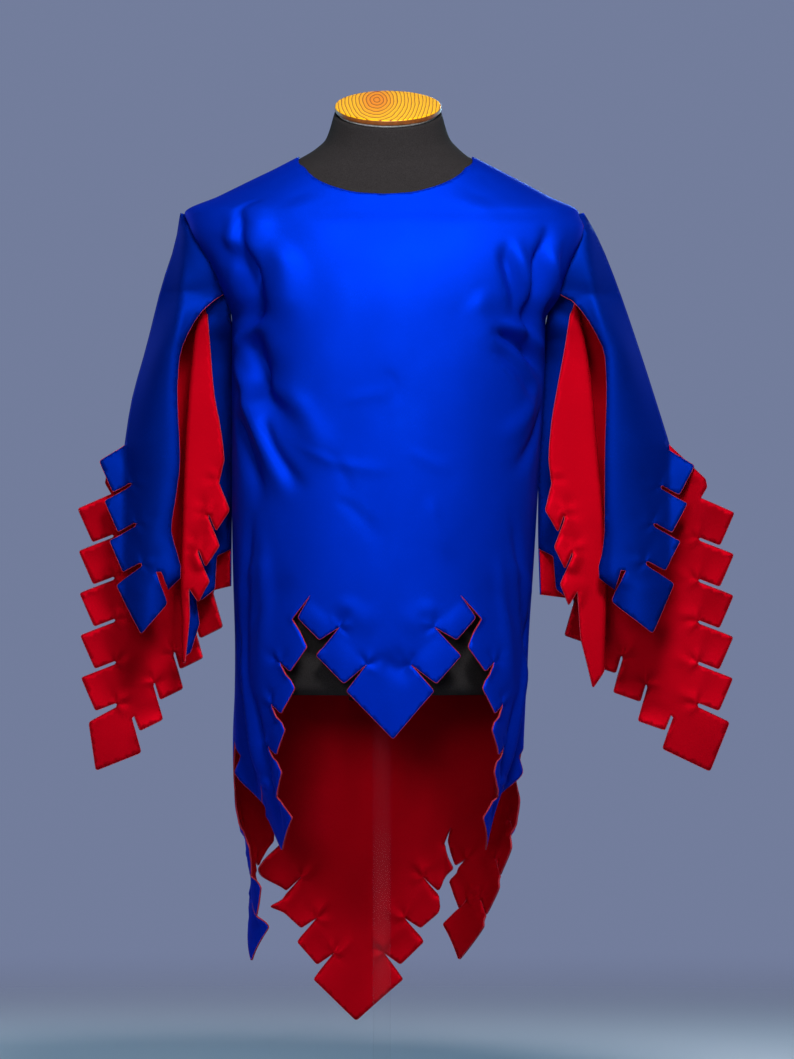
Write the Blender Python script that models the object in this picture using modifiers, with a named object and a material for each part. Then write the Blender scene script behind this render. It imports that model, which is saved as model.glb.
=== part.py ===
"""Medieval surcoat with dagged hems and hanging sleeves, worn on a limbless dress form.

All tables are in millimetres. The wearer faces -Y, +Z is up, and the base stands on z = 0.
Body cloth is cut flat as (s, z): s runs round the body from centre front, z is height.
"""
import math

import bmesh
import bpy
import numpy as np
from mathutils import Matrix, Vector
from mathutils.geometry import delaunay_2d_cdt

MM = 0.001
COLLECTION = "surcoat"

# Cloth
OUTER_WALL = 1.2
LINING_WALL = 1.0
HALF_GAP = 0.3
SEAM_GAP = 0.4
HALF_GIRTH = 268.0
SLOT = 4.5
LATTICE = 40.0
EDGE_STEP = 46.0
SECTION_POWER = 2.5
SHOULDER_Z = 1132.0
NECK_Z = 1203.0
SHOULDER_STRETCH = 2.2
LINING_TOP = 560.0

# Twist of the hem round the body: shift, height where it starts, height of the full shift, curve
TWIST_FRONT = (18.0, 720.0, 467.0, 1.2)
TWIST_BACK = (-31.0, 600.0, 100.0, 0.56)

# Body sections: height, centre, half width, front depth, back depth, armhole opening
BODY = {
    "z": [60, 180, 350, 425, 578, 692, 794, 921, 997, 1029, 1068, 1115, 1132, 1153, 1175, 1188, 1203],
    "centre": [-10, -10, -11, -12, -8.5, -6, -3.5, 0, 1, 4, 3, -2, -8, -6, -4, -3, -3],
    "half": [170, 174, 178, 181, 184.5, 190, 193.5, 197, 198, 211, 226, 248, 249, 208, 165, 139, 110],
    "front": [132, 132, 133, 134, 136, 138, 140, 141, 139, 134, 126, 109, 101, 91, 80, 74, 68],
    "back": [134, 134, 135, 136, 138, 138, 138, 138, 137, 134, 129, 115, 108, 99, 88, 80, 72],
    "open": [0, 0, 0, 0, 0, 0, 0, 0, 0, 28, 42, 24, 0, 0, 0, 0, 0],
}

# Neckline: distance from centre, front height, back height
NECKLINE = {
    "across": [0, 32, 62, 90, 102, 108, 109.5],
    "front": [1153, 1155, 1162, 1175, 1188, 1196, 1200],
    "back": [1184, 1184, 1187, 1192, 1197, 1200.5, 1201.8],
}

# Hem edges, half of each panel: from the notch by each tab's corners and slot to the tip's corner
HEM = {
    "centre_front": {
        "tip": (0, 467),
        "line": [(96, 648), (114, 620), (88, 592), (61, 608), (93, 572), (59, 537), (29, 561), (57, 528)],
    },
    "side_front_inner": {
        "tip": (190, 325),
        "line": [(96, 648), (121, 618), (102.5, 583), (126, 552), (142, 564), (122, 531), (141, 499),
                 (158, 511), (139, 478), (157, 447), (172, 457), (153, 425), (171, 394), (185, 404),
                 (149, 368)],
    },
    "side_front_outer": {
        "tip": (190, 325),
        "line": [(264, 458), (250, 444), (259, 424), (223, 383), (206, 408), (231, 368)],
    },
    "side_back_outer": {
        "tip": (355, 180),
        "line": [(272, 458), (300, 412), (279.5, 387.5), (297, 341), (313, 361), (285, 327), (310, 290),
                 (327, 310), (298, 276), (323, 239), (340, 259), (312, 225)],
    },
    "side_back_inner": {
        "tip": (355, 180),
        "line": [(413, 350), (417, 331), (397, 300), (381, 309), (402, 281), (378, 245), (365, 258.5),
                 (398, 225)],
    },
    "centre_back": {
        "tip": (536, 100),
        "line": [(413, 350), (424, 328), (402, 296), (434, 267), (452, 285), (422, 247), (455, 219),
                 (476, 232.5), (450, 201.5), (479, 172), (501.5, 187.5), (473, 153.5)],
    },
}

# Soft folds of the body cloth: girth place, height of middle, half width, half length, depth out, lean
FOLDS = [
    {"name": "chest_left", "s": -148, "z": 1035, "width": 17, "length": 60, "out": -8, "lean": -0.35},
    {"name": "chest_left_ridge", "s": -182, "z": 1015, "width": 17, "length": 70, "out": 7, "lean": -0.3},
    {"name": "armpit_left", "s": -196, "z": 935, "width": 20, "length": 90, "out": -6, "lean": -0.7},
    {"name": "chest_right", "s": 150, "z": 1040, "width": 17, "length": 60, "out": -7, "lean": 0.3},
    {"name": "chest_right_ridge", "s": 184, "z": 1010, "width": 17, "length": 70, "out": 6, "lean": 0.3},
    {"name": "armpit_right", "s": 198, "z": 925, "width": 20, "length": 80, "out": -5, "lean": 0.6},
    {"name": "drag_left", "s": -205, "z": 760, "width": 24, "length": 150, "out": 5, "lean": -0.15},
    {"name": "drag_right", "s": 214, "z": 740, "width": 26, "length": 160, "out": 4, "lean": 0.15},
    {"name": "back_left", "s": -400, "z": 800, "width": 34, "length": 330, "out": 8, "lean": 0.05},
    {"name": "back_mid", "s": 528, "z": 640, "width": 36, "length": 330, "out": -7, "lean": 0.04},
    {"name": "back_right", "s": 420, "z": 760, "width": 34, "length": 350, "out": 8, "lean": -0.05},
]

# Free-hanging flaps that swing or turn below their notch: axis, girth edges, heights, shift, turn
FLAPS = [
    {"name": "side_back_right", "s": 355, "near": (268, 268.2), "far": (408, 434), "top": 400, "low": 180,
     "x": -36, "y": 6, "turn": -10},
    {"name": "side_back_left", "s": -355, "near": (268, 268.2), "far": (408, 434), "top": 400, "low": 250,
     "x": 6, "y": -22, "turn": 40},
    {"name": "side_front_right", "s": 196, "near": (100, 145), "far": (225, 262), "top": 560, "low": 330,
     "x": -43, "y": 8, "turn": 20},
    {"name": "side_front_left", "s": -196, "near": (100, 145), "far": (225, 262), "top": 560, "low": 330,
     "x": 25, "y": 8, "turn": -20},
]

# Sleeve guide lines, distance out from the body's centre line on each side
SEAM_LINE = {
    "z": [839, 890, 964, 1039, 1100, 1132],
    "left": [334, 326, 306, 287, 268, 263],
    "right": [357, 341, 317, 291, 266, 248],
}
SLIT_LINE = {
    "z": [655, 674, 702, 730, 773, 819, 905, 951, 984, 1008, 1022],
    "left": [279, 262, 268, 275, 269, 264, 267, 264, 251, 235, 219],
    "right": [288, 266, 272, 275, 275, 275, 277, 275, 261, 245, 232],
}
TURN_LINE = {
    "z": [500, 563, 612, 660, 731, 819, 890, 945, 1003],
    "left": [262, 256, 256, 258, 256, 253, 249, 244, 236],
    "right": [268, 270, 271, 272, 270, 262, 256, 249, 238],
}
FREE_EDGE = {
    "z": [786, 819, 861, 905, 964, 1003],
    "left": [214, 208, 213, 221, 226, 229],
    "right": [206, 204, 207, 214, 225, 231],
}
# Hang of the sleeve layers, front to back, by height
LAYERS = {
    "z": [400, 600, 700, 839, 940, 970, 997, 1039, 1132],
    "front_seam": [-10, -12, -4, 14, 12, 11, 10, 6, -0.9],
    "front_edge": [-22, -24, -28, -36, -40, -40, -38, -30, -20],
    "back_seam": [62, 52, 40, 16, 14, 13, 12, 8, 1.2],
    "underarm": [38, 38, 38, 38, 36, 24, 8, 8, 8],
    "turn": [4, 4, 5, 6, 3, 0, -4, -6, -6],
}
UNDERARM_OUT = 206.0
SLEEVE_BULGE = 16.0
TURN_RADIUS = 5.0
STRIP_GAP = 0.45
LOW_TURN = 610.0
RIDGE = {
    "z": [839, 951, 997, 1041, 1115],
    "left": [268, 268, 264, 260, 253],
    "right": [281, 276, 268, 258, 247],
}

# Dress form sections: height, centre, half width, front depth, back depth
FORM = {
    "z": [522, 560, 620, 700, 780, 860, 940, 1000, 1040, 1080, 1120, 1150, 1170, 1188, 1203, 1213, 1226,
          1256],
    "centre": [-9, -9, -8, -6, -4, -2, 0, 0, 0, 0, -2, -3, -3, -3, -3, -1, 0, 0],
    "half": [168, 172, 172, 168, 165, 168, 176, 184, 192, 199, 199, 195, 167, 139, 107, 92, 79, 68],
    "front": [116, 120, 120, 114, 104, 104, 112, 118, 118, 110, 92, 80, 74, 69, 65, 64, 63, 62],
    "back": [118, 122, 122, 114, 104, 106, 112, 114, 112, 104, 92, 82, 75, 69, 65, 64, 63, 62],
}
FORM_SEGMENTS = 36
NECK_TILT = math.radians(19.0)
RING_RADIUS = 65.0
RING_HEIGHT = 4.0
CAP_RADIUS = 67.5
CAP_HEIGHT = 8.5
CAP_EDGE = 2.0
FIT_GAP = 0.5

# Stand
BASE_RADIUS = 165.0
BASE_HEIGHT = 12.0
POLE_RADIUS = 11.0
FLANGE_RADIUS = 42.0
FLANGE_HEIGHT = 8.0
COLLAR_RADIUS = 24.0
COLLAR_HEIGHT = 30.0
STAND_CENTRE = -8.0

MATERIALS = {
    "blue_cloth": ((0.004, 0.045, 0.62, 1.0), 0.62, 0.0),
    "red_lining": ((0.68, 0.003, 0.018, 1.0), 0.60, 0.0),
    "black_jersey": ((0.012, 0.012, 0.013, 1.0), 0.9, 0.0),
    "varnished_wood": ((0.62, 0.26, 0.05, 1.0), 0.25, 0.0),
    "white_rim": ((0.8, 0.8, 0.78, 1.0), 0.5, 0.0),
    "dark_steel": ((0.03, 0.03, 0.032, 1.0), 0.4, 1.0),
    "clear_acrylic": ((0.85, 0.88, 0.9, 1.0), 0.1, 0.0),
}


def clear_scene():
    """Remove every object so the build starts empty."""
    for item in list(bpy.data.objects):
        bpy.data.objects.remove(item, do_unlink=True)


def make_material(name):
    """Return the named Principled material."""
    color, roughness, metallic = MATERIALS[name]
    material = bpy.data.materials.new(name)
    material.use_nodes = True
    shader = material.node_tree.nodes["Principled BSDF"]
    shader.inputs["Base Color"].default_value = color
    shader.inputs["Roughness"].default_value = roughness
    shader.inputs["Metallic"].default_value = metallic
    material.diffuse_color = color
    return material


def column(table, z, name):
    """Read one column of a height table at height z."""
    return float(np.interp(z, table["z"], table[name]))


def unit(vector):
    """Return the 2-D vector at length one."""
    return vector / max(float(np.hypot(vector[0], vector[1])), 1e-9)


# Flat pattern tools

def dag_run(start, end, count, aim, lead, trail, first_lead=None):
    """Square tabs with narrow slots between them along a hem line from start to end."""
    start = np.array(start, float)
    end = np.array(end, float)
    aim = unit(np.array(aim, float))
    step = (end - start) / count
    along = unit(step)
    points = []
    for index in range(count):
        first = start + step * index
        last = start + step * (index + 1)
        if index:
            points.append(first + along * SLOT / 2)
        reach = lead if index or first_lead is None else first_lead
        points.append(first + along * SLOT / 2 + aim * reach)
        points.append(last - along * SLOT / 2 + aim * trail)
        points.append(last - along * SLOT / 2)
        points.append(last - aim * SLOT * 0.6)
    return points


def hem_line(name):
    """One side of a hem point, from its notch down to the corner beside the tip."""
    return [np.array(point, float) for point in HEM[name]["line"]]


def hem_tip(name):
    """Lowest corner of a hem point."""
    return np.array(HEM[name]["tip"], float)


def split_long(points, longest):
    """Add points along every edge longer than the given step."""
    result = []
    for index, point in enumerate(points):
        following = points[(index + 1) % len(points)]
        span = float(np.hypot(*(following - point)))
        pieces = max(1, math.ceil(span / longest))
        for part in range(pieces):
            result.append(point + (following - point) * (part / pieces))
    return result


def inside(points, outline):
    """Which of the points lie inside the closed outline."""
    result = np.zeros(len(points), bool)
    px, py = points[:, 0], points[:, 1]
    for index in range(len(outline)):
        ax, ay = outline[index]
        bx, by = outline[(index + 1) % len(outline)]
        if ay == by:
            continue
        crosses = (ay > py) != (by > py)
        result ^= crosses & (px < (bx - ax) * (py - ay) / (by - ay) + ax)
    return result


def edge_distance(points, outline):
    """Distance of each point from the outline."""
    best = np.full(len(points), 1e9)
    for index in range(len(outline)):
        a = outline[index]
        b = outline[(index + 1) % len(outline)]
        run = b - a
        length = max(float(run @ run), 1e-9)
        place = np.clip(((points - a) @ run) / length, 0.0, 1.0)
        near = a + place[:, None] * run
        best = np.minimum(best, np.hypot(*(points - near).T))
    return best


def lattice_points(outline, pitch):
    """Staggered points that fill the outline."""
    low = outline.min(axis=0)
    high = outline.max(axis=0)
    rows = []
    row_step = pitch * 0.866
    for row in range(int((high[1] - low[1]) / row_step) + 1):
        shift = pitch * 0.5 * (row % 2)
        z = low[1] + row_step * (row + 0.5)
        for place in np.arange(low[0] + shift, high[0], pitch):
            rows.append((place, z))
    points = np.array(rows)
    points = points[inside(points, outline)]
    return points[edge_distance(points, outline) > pitch * 0.42]


def cut_flat(outline, pitch=LATTICE, edge_step=EDGE_STEP, extra=()):
    """Triangulate a flat pattern piece and return its points and triangles."""
    edge = np.array(split_long(outline, edge_step))
    fill = lattice_points(edge, pitch)
    if len(extra):
        lines = np.array(extra)
        lines = lines[inside(lines, edge)]
        lines = lines[edge_distance(lines, edge) > 3.0]
        gap = np.hypot(fill[:, None, 0] - lines[None, :, 0], fill[:, None, 1] - lines[None, :, 1])
        fill = fill[gap.min(axis=1) > pitch * 0.4]
        fill = np.vstack([fill, lines])
    points = [Vector(p) for p in np.vstack([edge, fill])]
    rim = [(i, (i + 1) % len(edge)) for i in range(len(edge))]
    found = delaunay_2d_cdt(points, rim, [], 1, 1e-5)
    return [tuple(p) for p in found[0]], [tuple(f) for f in found[2]]


# Body drape

def section_table():
    """Girth fraction against width fraction for one quarter of the body section."""
    angle = np.linspace(0.0, math.pi / 2, 400)
    across = np.sin(angle) ** (2 / SECTION_POWER)
    deep = np.cos(angle) ** (2 / SECTION_POWER)
    across[0] = 0.0
    deep[-1] = 0.0
    step = np.hypot(np.diff(across) * 190.0, np.diff(deep) * 138.0)
    girth = np.concatenate([[0.0], np.cumsum(step)])
    return girth / girth[-1], across, deep


GIRTH, ACROSS, DEEP = section_table()


def pattern_height(z):
    """Height on the flat pattern for a worn height, longer over the sloping shoulder."""
    return z if z <= SHOULDER_Z else SHOULDER_Z + (z - SHOULDER_Z) * SHOULDER_STRETCH


def worn_height(q):
    """Worn height for a height on the flat pattern."""
    return q if q <= SHOULDER_Z else SHOULDER_Z + (q - SHOULDER_Z) / SHOULDER_STRETCH


def girth_at(across, z):
    """Girth from the centre line for a distance across, at one height."""
    ratio = min(across / column(BODY, z, "half"), 1.0)
    return HALF_GIRTH * float(np.interp(ratio, ACROSS, GIRTH))


def body_point(s, z, out=0.0):
    """Place a point of the body section: s runs round from centre front, either way."""
    side = 1.0 if s >= 0 else -1.0
    around = min(abs(s), 2 * HALF_GIRTH + 120)
    back = around > HALF_GIRTH
    quarter = 2 * HALF_GIRTH - around if back else around
    cross = 1.0 if quarter >= 0 else -1.0
    fraction = min(abs(quarter) / HALF_GIRTH, 1.0)
    across = float(np.interp(fraction, GIRTH, ACROSS)) * cross
    deep = float(np.interp(fraction, GIRTH, DEEP))
    opening = column(BODY, z, "open")
    depth = column(BODY, z, "back" if back else "front")
    y = opening + (depth - opening + out) * deep
    x = side * across * (column(BODY, z, "half") + out) + column(BODY, z, "centre")
    shift, top, low, curve = TWIST_BACK if back else TWIST_FRONT
    x += shift * deep * min(max((top - z) / (top - low), 0.0), 1.25) ** curve
    return x, y if back else -y


def ease(value, low, high):
    """Smooth step from 0 at low to 1 at high."""
    place = min(max((value - low) / (high - low), 0.0), 1.0)
    return place * place * (3.0 - 2.0 * place)


def fold_depth(s, z):
    """How far the folds push the cloth out at a place on the pattern."""
    total = 0.0
    for fold in FOLDS:
        along = (z - fold["z"]) / fold["length"]
        away = (s - fold["s"] - fold["lean"] * (z - fold["z"])) / fold["width"]
        if abs(along) < 2.5 and abs(away) < 3:
            total += fold["out"] * math.exp(-along * along - away * away)
    return total


def drape_body(s, q):
    """Worn place of a body pattern point."""
    z = worn_height(q)
    near_seam = min(abs(abs(s) - HALF_GIRTH) / 30.0, 1.0)
    x, y = body_point(s, z, fold_depth(s, z) * near_seam)
    for flap in FLAPS:
        fall = (flap["top"] - z) / (flap["top"] - flap["low"])
        if fall <= 0 or s * flap["s"] <= 0:
            continue
        weight = ease(abs(s), *flap["near"]) * (1.0 - ease(abs(s), *flap["far"]))
        amount = min(fall, 1.15) ** 1.4 * weight
        turn = math.radians(flap["turn"]) * amount
        cx, cy = body_point(flap["s"], z)
        dx, dy = x - cx, y - cy
        x = cx + dx * math.cos(turn) - dy * math.sin(turn) + flap["x"] * amount
        y = cy + dx * math.sin(turn) + dy * math.cos(turn) + flap["y"] * amount
    return x, y, z


def front_outline():
    """Front panel pattern, anticlockwise from the left shoulder point."""
    edge = HALF_GIRTH - SEAM_GAP / 2
    inner = hem_line("centre_front")
    side_in = hem_line("side_front_inner")
    side_out = hem_line("side_front_outer")
    right = inner[::-1][:-1] + side_in + [hem_tip("side_front_inner")] + side_out[::-1][:-1]
    right += [np.array((edge, 462.0))]
    heights = [560, 680, 800, 921, 997, 1013, 1029, 1048, 1068, 1092, 1115, 1132]
    right += [np.array((edge, float(z))) for z in heights]
    top = pattern_height(NECK_Z)
    right += [np.array((edge, SHOULDER_Z + (top - SHOULDER_Z) * k / 4)) for k in (1, 2, 3, 4)]
    neck = []
    for across, z in zip(NECKLINE["across"], NECKLINE["front"]):
        neck.append(np.array((girth_at(across, z), pattern_height(z))))
    right += neck[::-1][:-1]
    left = [np.array((-p[0], p[1])) for p in right[::-1]]
    return [hem_tip("centre_front")] + right + [neck[0]] + left


def back_outline():
    """Back panel pattern, anticlockwise, from the right side seam round to the left one."""
    edge = HALF_GIRTH + SEAM_GAP / 2
    outer = [np.array((edge, 462.0))] + hem_line("side_back_outer")
    inner = hem_line("side_back_inner")
    half = outer + [hem_tip("side_back_inner")] + inner[::-1][:-1] + hem_line("centre_back")
    full = 2 * HALF_GIRTH
    other = [np.array((2 * full - p[0], p[1])) for p in half[::-1]]
    hem = half + [hem_tip("centre_back")] + other
    far = 2 * full - edge
    heights = [560, 680, 800, 921, 997, 1013, 1029, 1048, 1068, 1092, 1115, 1132]
    top = pattern_height(NECK_Z)
    rise = [float(z) for z in heights]
    rise += [SHOULDER_Z + (top - SHOULDER_Z) * k / 4 for k in (1, 2, 3, 4)]
    neck = []
    for across, z in zip(NECKLINE["across"], NECKLINE["back"]):
        neck.append(np.array((full - girth_at(across, z), pattern_height(z))))
    neck_far = [np.array((2 * full - p[0], p[1])) for p in neck[::-1]]
    outline = hem + [np.array((far, z)) for z in rise] + neck_far[:-1] + neck
    return outline + [np.array((edge, z)) for z in rise[::-1]]


def drape_back(s, q):
    """Worn place of a back panel point: past centre back the girth counts from the other side."""
    full = 2 * HALF_GIRTH
    if s > full:
        return drape_body(s - 2 * full, q)
    return drape_body(s, q)


# Sleeves

def armhole_out(z, side, clearance=1.4):
    """Distance out of the armhole edge on one side, clear of the body cloth."""
    sign = 1.0 if side == "right" else -1.0
    return sign * column(BODY, z, "centre") + column(BODY, z, "half") + OUTER_WALL + clearance


def side_value(pair, side):
    """Pick the left or right figure of a pair."""
    return pair[0] if side == "left" else pair[1]


ARMHOLE_STEPS = (1048.0, 1068.0, 1092.0, 1115.0)
FRONT_TABS = {"notch": ((334, 838), (357, 832)), "slot": ((314, 686), (329, 688)),
              "corner": ((345, 660), (363, 662)), "tip": ((312, 598), (335, 599)),
              "inner": ((280, 637), (283, 640)), "end": ((293, 677), (301, 679))}
BACK_TABS = {"start": ((352, 776), (398, 771)), "slot": ((348, 507), (397, 507)),
             "corner": ((382, 485), (436, 485)), "tip": ((373, 423), (411, 422)),
             "inner": ((315, 446), (350, 451)), "end": ((324, 493), (361, 494)),
             "underarm": ((222, 651), (236, 640))}
STRIP_TABS = {"free": ((214, 792), (207, 792)), "slot": ((246, 716), (234, 712)),
              "tip": ((262, 560), (264, 529)), "corner": ((240, 618), (233, 590))}


def sleeve_front_outline(side):
    """Over-arm half of the sleeve, as (distance out, height), seam line first."""
    points = [np.array((column(SEAM_LINE, z, side), float(z))) for z in SEAM_LINE["z"][::-1]]
    notch = side_value(FRONT_TABS["notch"], side)
    slot = side_value(FRONT_TABS["slot"], side)
    points[-1] = np.array(notch, float)
    points += dag_run(notch, slot, 3, (0.88, -0.47), 38, 25)
    points.append(np.array(slot, float) + np.array((-1.0, -3.0)))
    for name in ("corner", "tip", "inner", "end"):
        points.append(np.array(side_value(FRONT_TABS[name], side), float))
    points.append(np.array(side_value(FRONT_TABS["end"], side), float) + np.array((-6.0, 0.0)))
    for z in SLIT_LINE["z"]:
        points.append(np.array((column(SLIT_LINE, z, side), float(z))))
    clearance = 0.65 if side == "right" else 1.1
    for z in (1029.0,) + ARMHOLE_STEPS:
        points.append(np.array((armhole_out(z, side, clearance), z)))
    return points


def sleeve_back_outline(side):
    """Under half of the sleeve, as (distance out, height), seam line first."""
    points = [np.array((column(SEAM_LINE, z, side), float(z))) for z in SEAM_LINE["z"][::-1]]
    start = side_value(BACK_TABS["start"], side)
    slot = side_value(BACK_TABS["slot"], side)
    end = side_value(BACK_TABS["end"], side)
    under = side_value(BACK_TABS["underarm"], side)
    points.append(np.array((start[0] + 6.0, start[1] + 24.0)))
    points.append(np.array((start[0] + 8.0, start[1] + 14.0)))
    points.append(np.array(start, float))
    points += dag_run(start, slot, 5, (0.93, -0.36), 46, 27)[0:]
    points.append(np.array(slot, float) + np.array((-1.0, -3.0)))
    for name in ("corner", "tip", "inner"):
        points.append(np.array(side_value(BACK_TABS[name], side), float))
    points.append(np.array(end, float) + np.array((3.0, -3.0)))
    points.append(np.array(end, float))
    points += dag_run(end, under, 4, (-0.28, -0.96), 22, 44)
    points.append(np.array((UNDERARM_OUT, under[1] + 8.0)))
    for z in (740.0, 839.0, 940.0, 970.0):
        points.append(np.array((UNDERARM_OUT, z)))
    for z in (1006.0, 1029.0) + ARMHOLE_STEPS:
        points.append(np.array((armhole_out(z, side), z)))
    return points


def sleeve_front_depth(out, z, side):
    """Front-to-back place of the over-arm sleeve half."""
    seam = column(SEAM_LINE, z, side)
    edge = armhole_out(z, side) if z > 1026 else column(SLIT_LINE, z, side)
    place = (seam - out) / max(seam - edge, 12.0)
    inner = -column(BODY, z, "open") if z > 1026 else column(LAYERS, z, "front_edge")
    blend = min(max((z - 1010) / 40.0, 0.0), 1.0)
    inner = -column(BODY, z, "open") * blend + column(LAYERS, z, "front_edge") * (1 - blend)
    soft = min(max(place, 0.0), 1.0)
    fade = min(max((SHOULDER_Z - z) / 90.0, 0.0), 1.0)
    y = column(LAYERS, z, "front_seam") * (1 - soft) + inner * soft
    y -= SLEEVE_BULGE * fade * math.sin(math.pi * soft)
    ridge = (out - column(RIDGE, z, side)) / 13.0
    y -= 7.0 * fade * math.exp(-ridge * ridge) * (1.0 - soft ** 4)
    return y + max(-place, 0.0) * 10.0


def sleeve_back_depth(out, z, side):
    """Front-to-back place of the under sleeve half."""
    seam = column(SEAM_LINE, z, side) + (40.0 if side == "right" and z < 800 else 0.0)
    edge = armhole_out(z, side) if z > 1010 else UNDERARM_OUT
    place = min(max((seam - out) / max(seam - edge, 12.0), 0.0), 1.0)
    blend = min(max((z - 997) / 25.0, 0.0), 1.0)
    inner = (column(BODY, z, "open") + 1.0) * blend + column(LAYERS, z, "underarm") * (1 - blend)
    fade = min(max((SHOULDER_Z - z) / 90.0, 0.0), 1.0)
    y = column(LAYERS, z, "back_seam") * (1 - place) + inner * place
    wave = 5.0 * math.sin((out - 200.0) / 38.0 + (z - 600.0) / 210.0)
    return y + SLEEVE_BULGE * fade * math.sin(math.pi * place) + wave * fade * math.sin(math.pi * place)


def strip_layout(z, side):
    """Width of the strip beside the body and the length of its fold, on the pattern."""
    return column(TURN_LINE, z, side) - UNDERARM_OUT, math.pi * TURN_RADIUS


def strip_from_out(out, z, side):
    """Pattern place of a point on the turned-back part of the strip."""
    width, bend = strip_layout(z, side)
    return width + bend + (column(TURN_LINE, z, side) - out)


def sleeve_strip_outline(side):
    """Strip beside the body with its turned-back slit edge, as (distance along, height)."""
    points = [np.array((0.0, z)) for z in (1000.0, 970.0, 940.0, 839.0, 740.0, 706.0)]
    points += [np.array((18.0, 697.0)), np.array((20.0, 655.0)), np.array((38.0, 640.0))]
    points += [np.array((44.0, 676.0)), np.array((strip_layout(600.0, side)[0] - 2.0, 600.0))]
    tip = side_value(STRIP_TABS["tip"], side)
    points.append(np.array((strip_from_out(tip[0], tip[1], side) + 4.0, float(tip[1]))))
    corner = side_value(STRIP_TABS["corner"], side)
    points.append(np.array((strip_from_out(corner[0], corner[1], side), float(corner[1]))))
    slot = side_value(STRIP_TABS["slot"], side)
    free = side_value(STRIP_TABS["free"], side)
    low = np.array((strip_from_out(slot[0], slot[1] - 60.0, side) - 6.0, slot[1] - 60.0))
    high = np.array((strip_from_out(free[0], free[1], side), float(free[1])))
    points.append(low + np.array((-1.0, -4.0)))
    points.append(low)
    points += dag_run(low, high, 3, (0.42, -0.91), 22, 38)[:-1]
    points.append(high)
    for z in FREE_EDGE["z"][1:]:
        points.append(np.array((strip_from_out(column(FREE_EDGE, z, side), z, side), float(z))))
    width, bend = strip_layout(1003.0, side)
    points.append(np.array((width + bend * 0.5, 1006.0)))
    points.append(np.array((width - 2.0, 1004.0)))
    return points


def strip_guides(side):
    """Pattern points that let the strip bend round its fold line."""
    rows = []
    for z in np.arange(536.0, 1000.0, 30.0):
        width, bend = strip_layout(z, side)
        for k in range(5):
            rows.append((width + bend * k / 4, z))
    return rows


def strip_place(along, z, side):
    """Worn place of a strip pattern point, as (distance out, depth)."""
    width, bend = strip_layout(z, side)
    near = column(LAYERS, z, "underarm") - 1.8
    blend = min(max((z - 970) / 30.0, 0.0), 1.0)
    near = near * (1 - blend) + (-2.0) * blend
    turn = column(LAYERS, z, "turn")
    start_out = UNDERARM_OUT * (1 - blend) + max(armhole_out(997.0, side) + 2.0, 201.0) * blend
    if along <= width:
        place = along / max(width, 1.0)
        out = start_out + (column(TURN_LINE, z, side) - start_out) * place
        return out, near * (1 - place) + turn * place
    if along <= width + bend:
        angle = (along - width) / TURN_RADIUS
        out = column(TURN_LINE, z, side) + TURN_RADIUS * math.sin(angle)
        return out, turn - TURN_RADIUS * (1 - math.cos(angle))
    rest = along - width - bend
    lean = 0.16 * rest
    return column(TURN_LINE, z, side) - rest, turn - 2 * TURN_RADIUS - lean


# Solids

def link(obj, group, material):
    """Give the object its material and put it in the collection."""
    obj.data.materials.append(material)
    group.objects.link(obj)
    return obj


def open_sheet(name, places, faces, flip, shift):
    """Open mesh of a cloth layer, moved off its middle surface along its own normals."""
    mesh = bpy.data.meshes.new(name)
    turned = [tuple(reversed(f)) for f in faces] if flip else faces
    mesh.from_pydata([tuple(c * MM for c in p) for p in places], [], turned)
    shape = bmesh.new()
    shape.from_mesh(mesh)
    loose = [v for v in shape.verts if not v.link_faces]
    bmesh.ops.delete(shape, geom=loose, context="VERTS")
    shape.normal_update()
    moves = [v.normal * shift * MM for v in shape.verts]
    for vertex, move in zip(shape.verts, moves):
        vertex.co += move
    shape.to_mesh(mesh)
    shape.free()
    return bpy.data.objects.new(name, mesh)


def one_island(faces):
    """The largest set of triangles joined edge to edge."""
    owners = {}
    for index, face in enumerate(faces):
        for a, b in zip(face, face[1:] + face[:1]):
            owners.setdefault((min(a, b), max(a, b)), []).append(index)
    near = [[] for _ in faces]
    for sharing in owners.values():
        for index in sharing:
            near[index] += [other for other in sharing if other != index]
    left = set(range(len(faces)))
    best = []
    while left:
        group = []
        front = [left.pop()]
        while front:
            index = front.pop()
            group.append(index)
            for other in near[index]:
                if other in left:
                    left.remove(other)
                    front.append(other)
        best = max(best, group, key=len)
    return [faces[index] for index in sorted(best)]


def cloth(name, cut, drape, flip, wall, outward, group, material, keep=None, gap=HALF_GAP):
    """One layer of cloth: flat pattern, worn place, then its real thickness."""
    flat, faces = cut
    places = [drape(p[0], p[1]) for p in flat]
    if keep is not None:
        faces = one_island([f for f in faces if keep([flat[i] for i in f])])
    side = 1.0 if outward else -1.0
    obj = open_sheet(name, places, faces, flip, side * gap)
    solid = obj.modifiers.new("thickness", "SOLIDIFY")
    solid.thickness = wall * MM
    solid.offset = side
    solid.use_even_offset = False
    return link(obj, group, material)


def ring_points(z, centre, half, front, back, tilt):
    """Points round one section of the dress form."""
    points = []
    for index in range(FORM_SEGMENTS):
        angle = 2 * math.pi * index / FORM_SEGMENTS
        depth = back if math.sin(angle) > 0 else front
        y = depth * math.sin(angle)
        points.append((centre + half * math.cos(angle), y, z + y * math.tan(tilt)))
    return points


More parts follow.
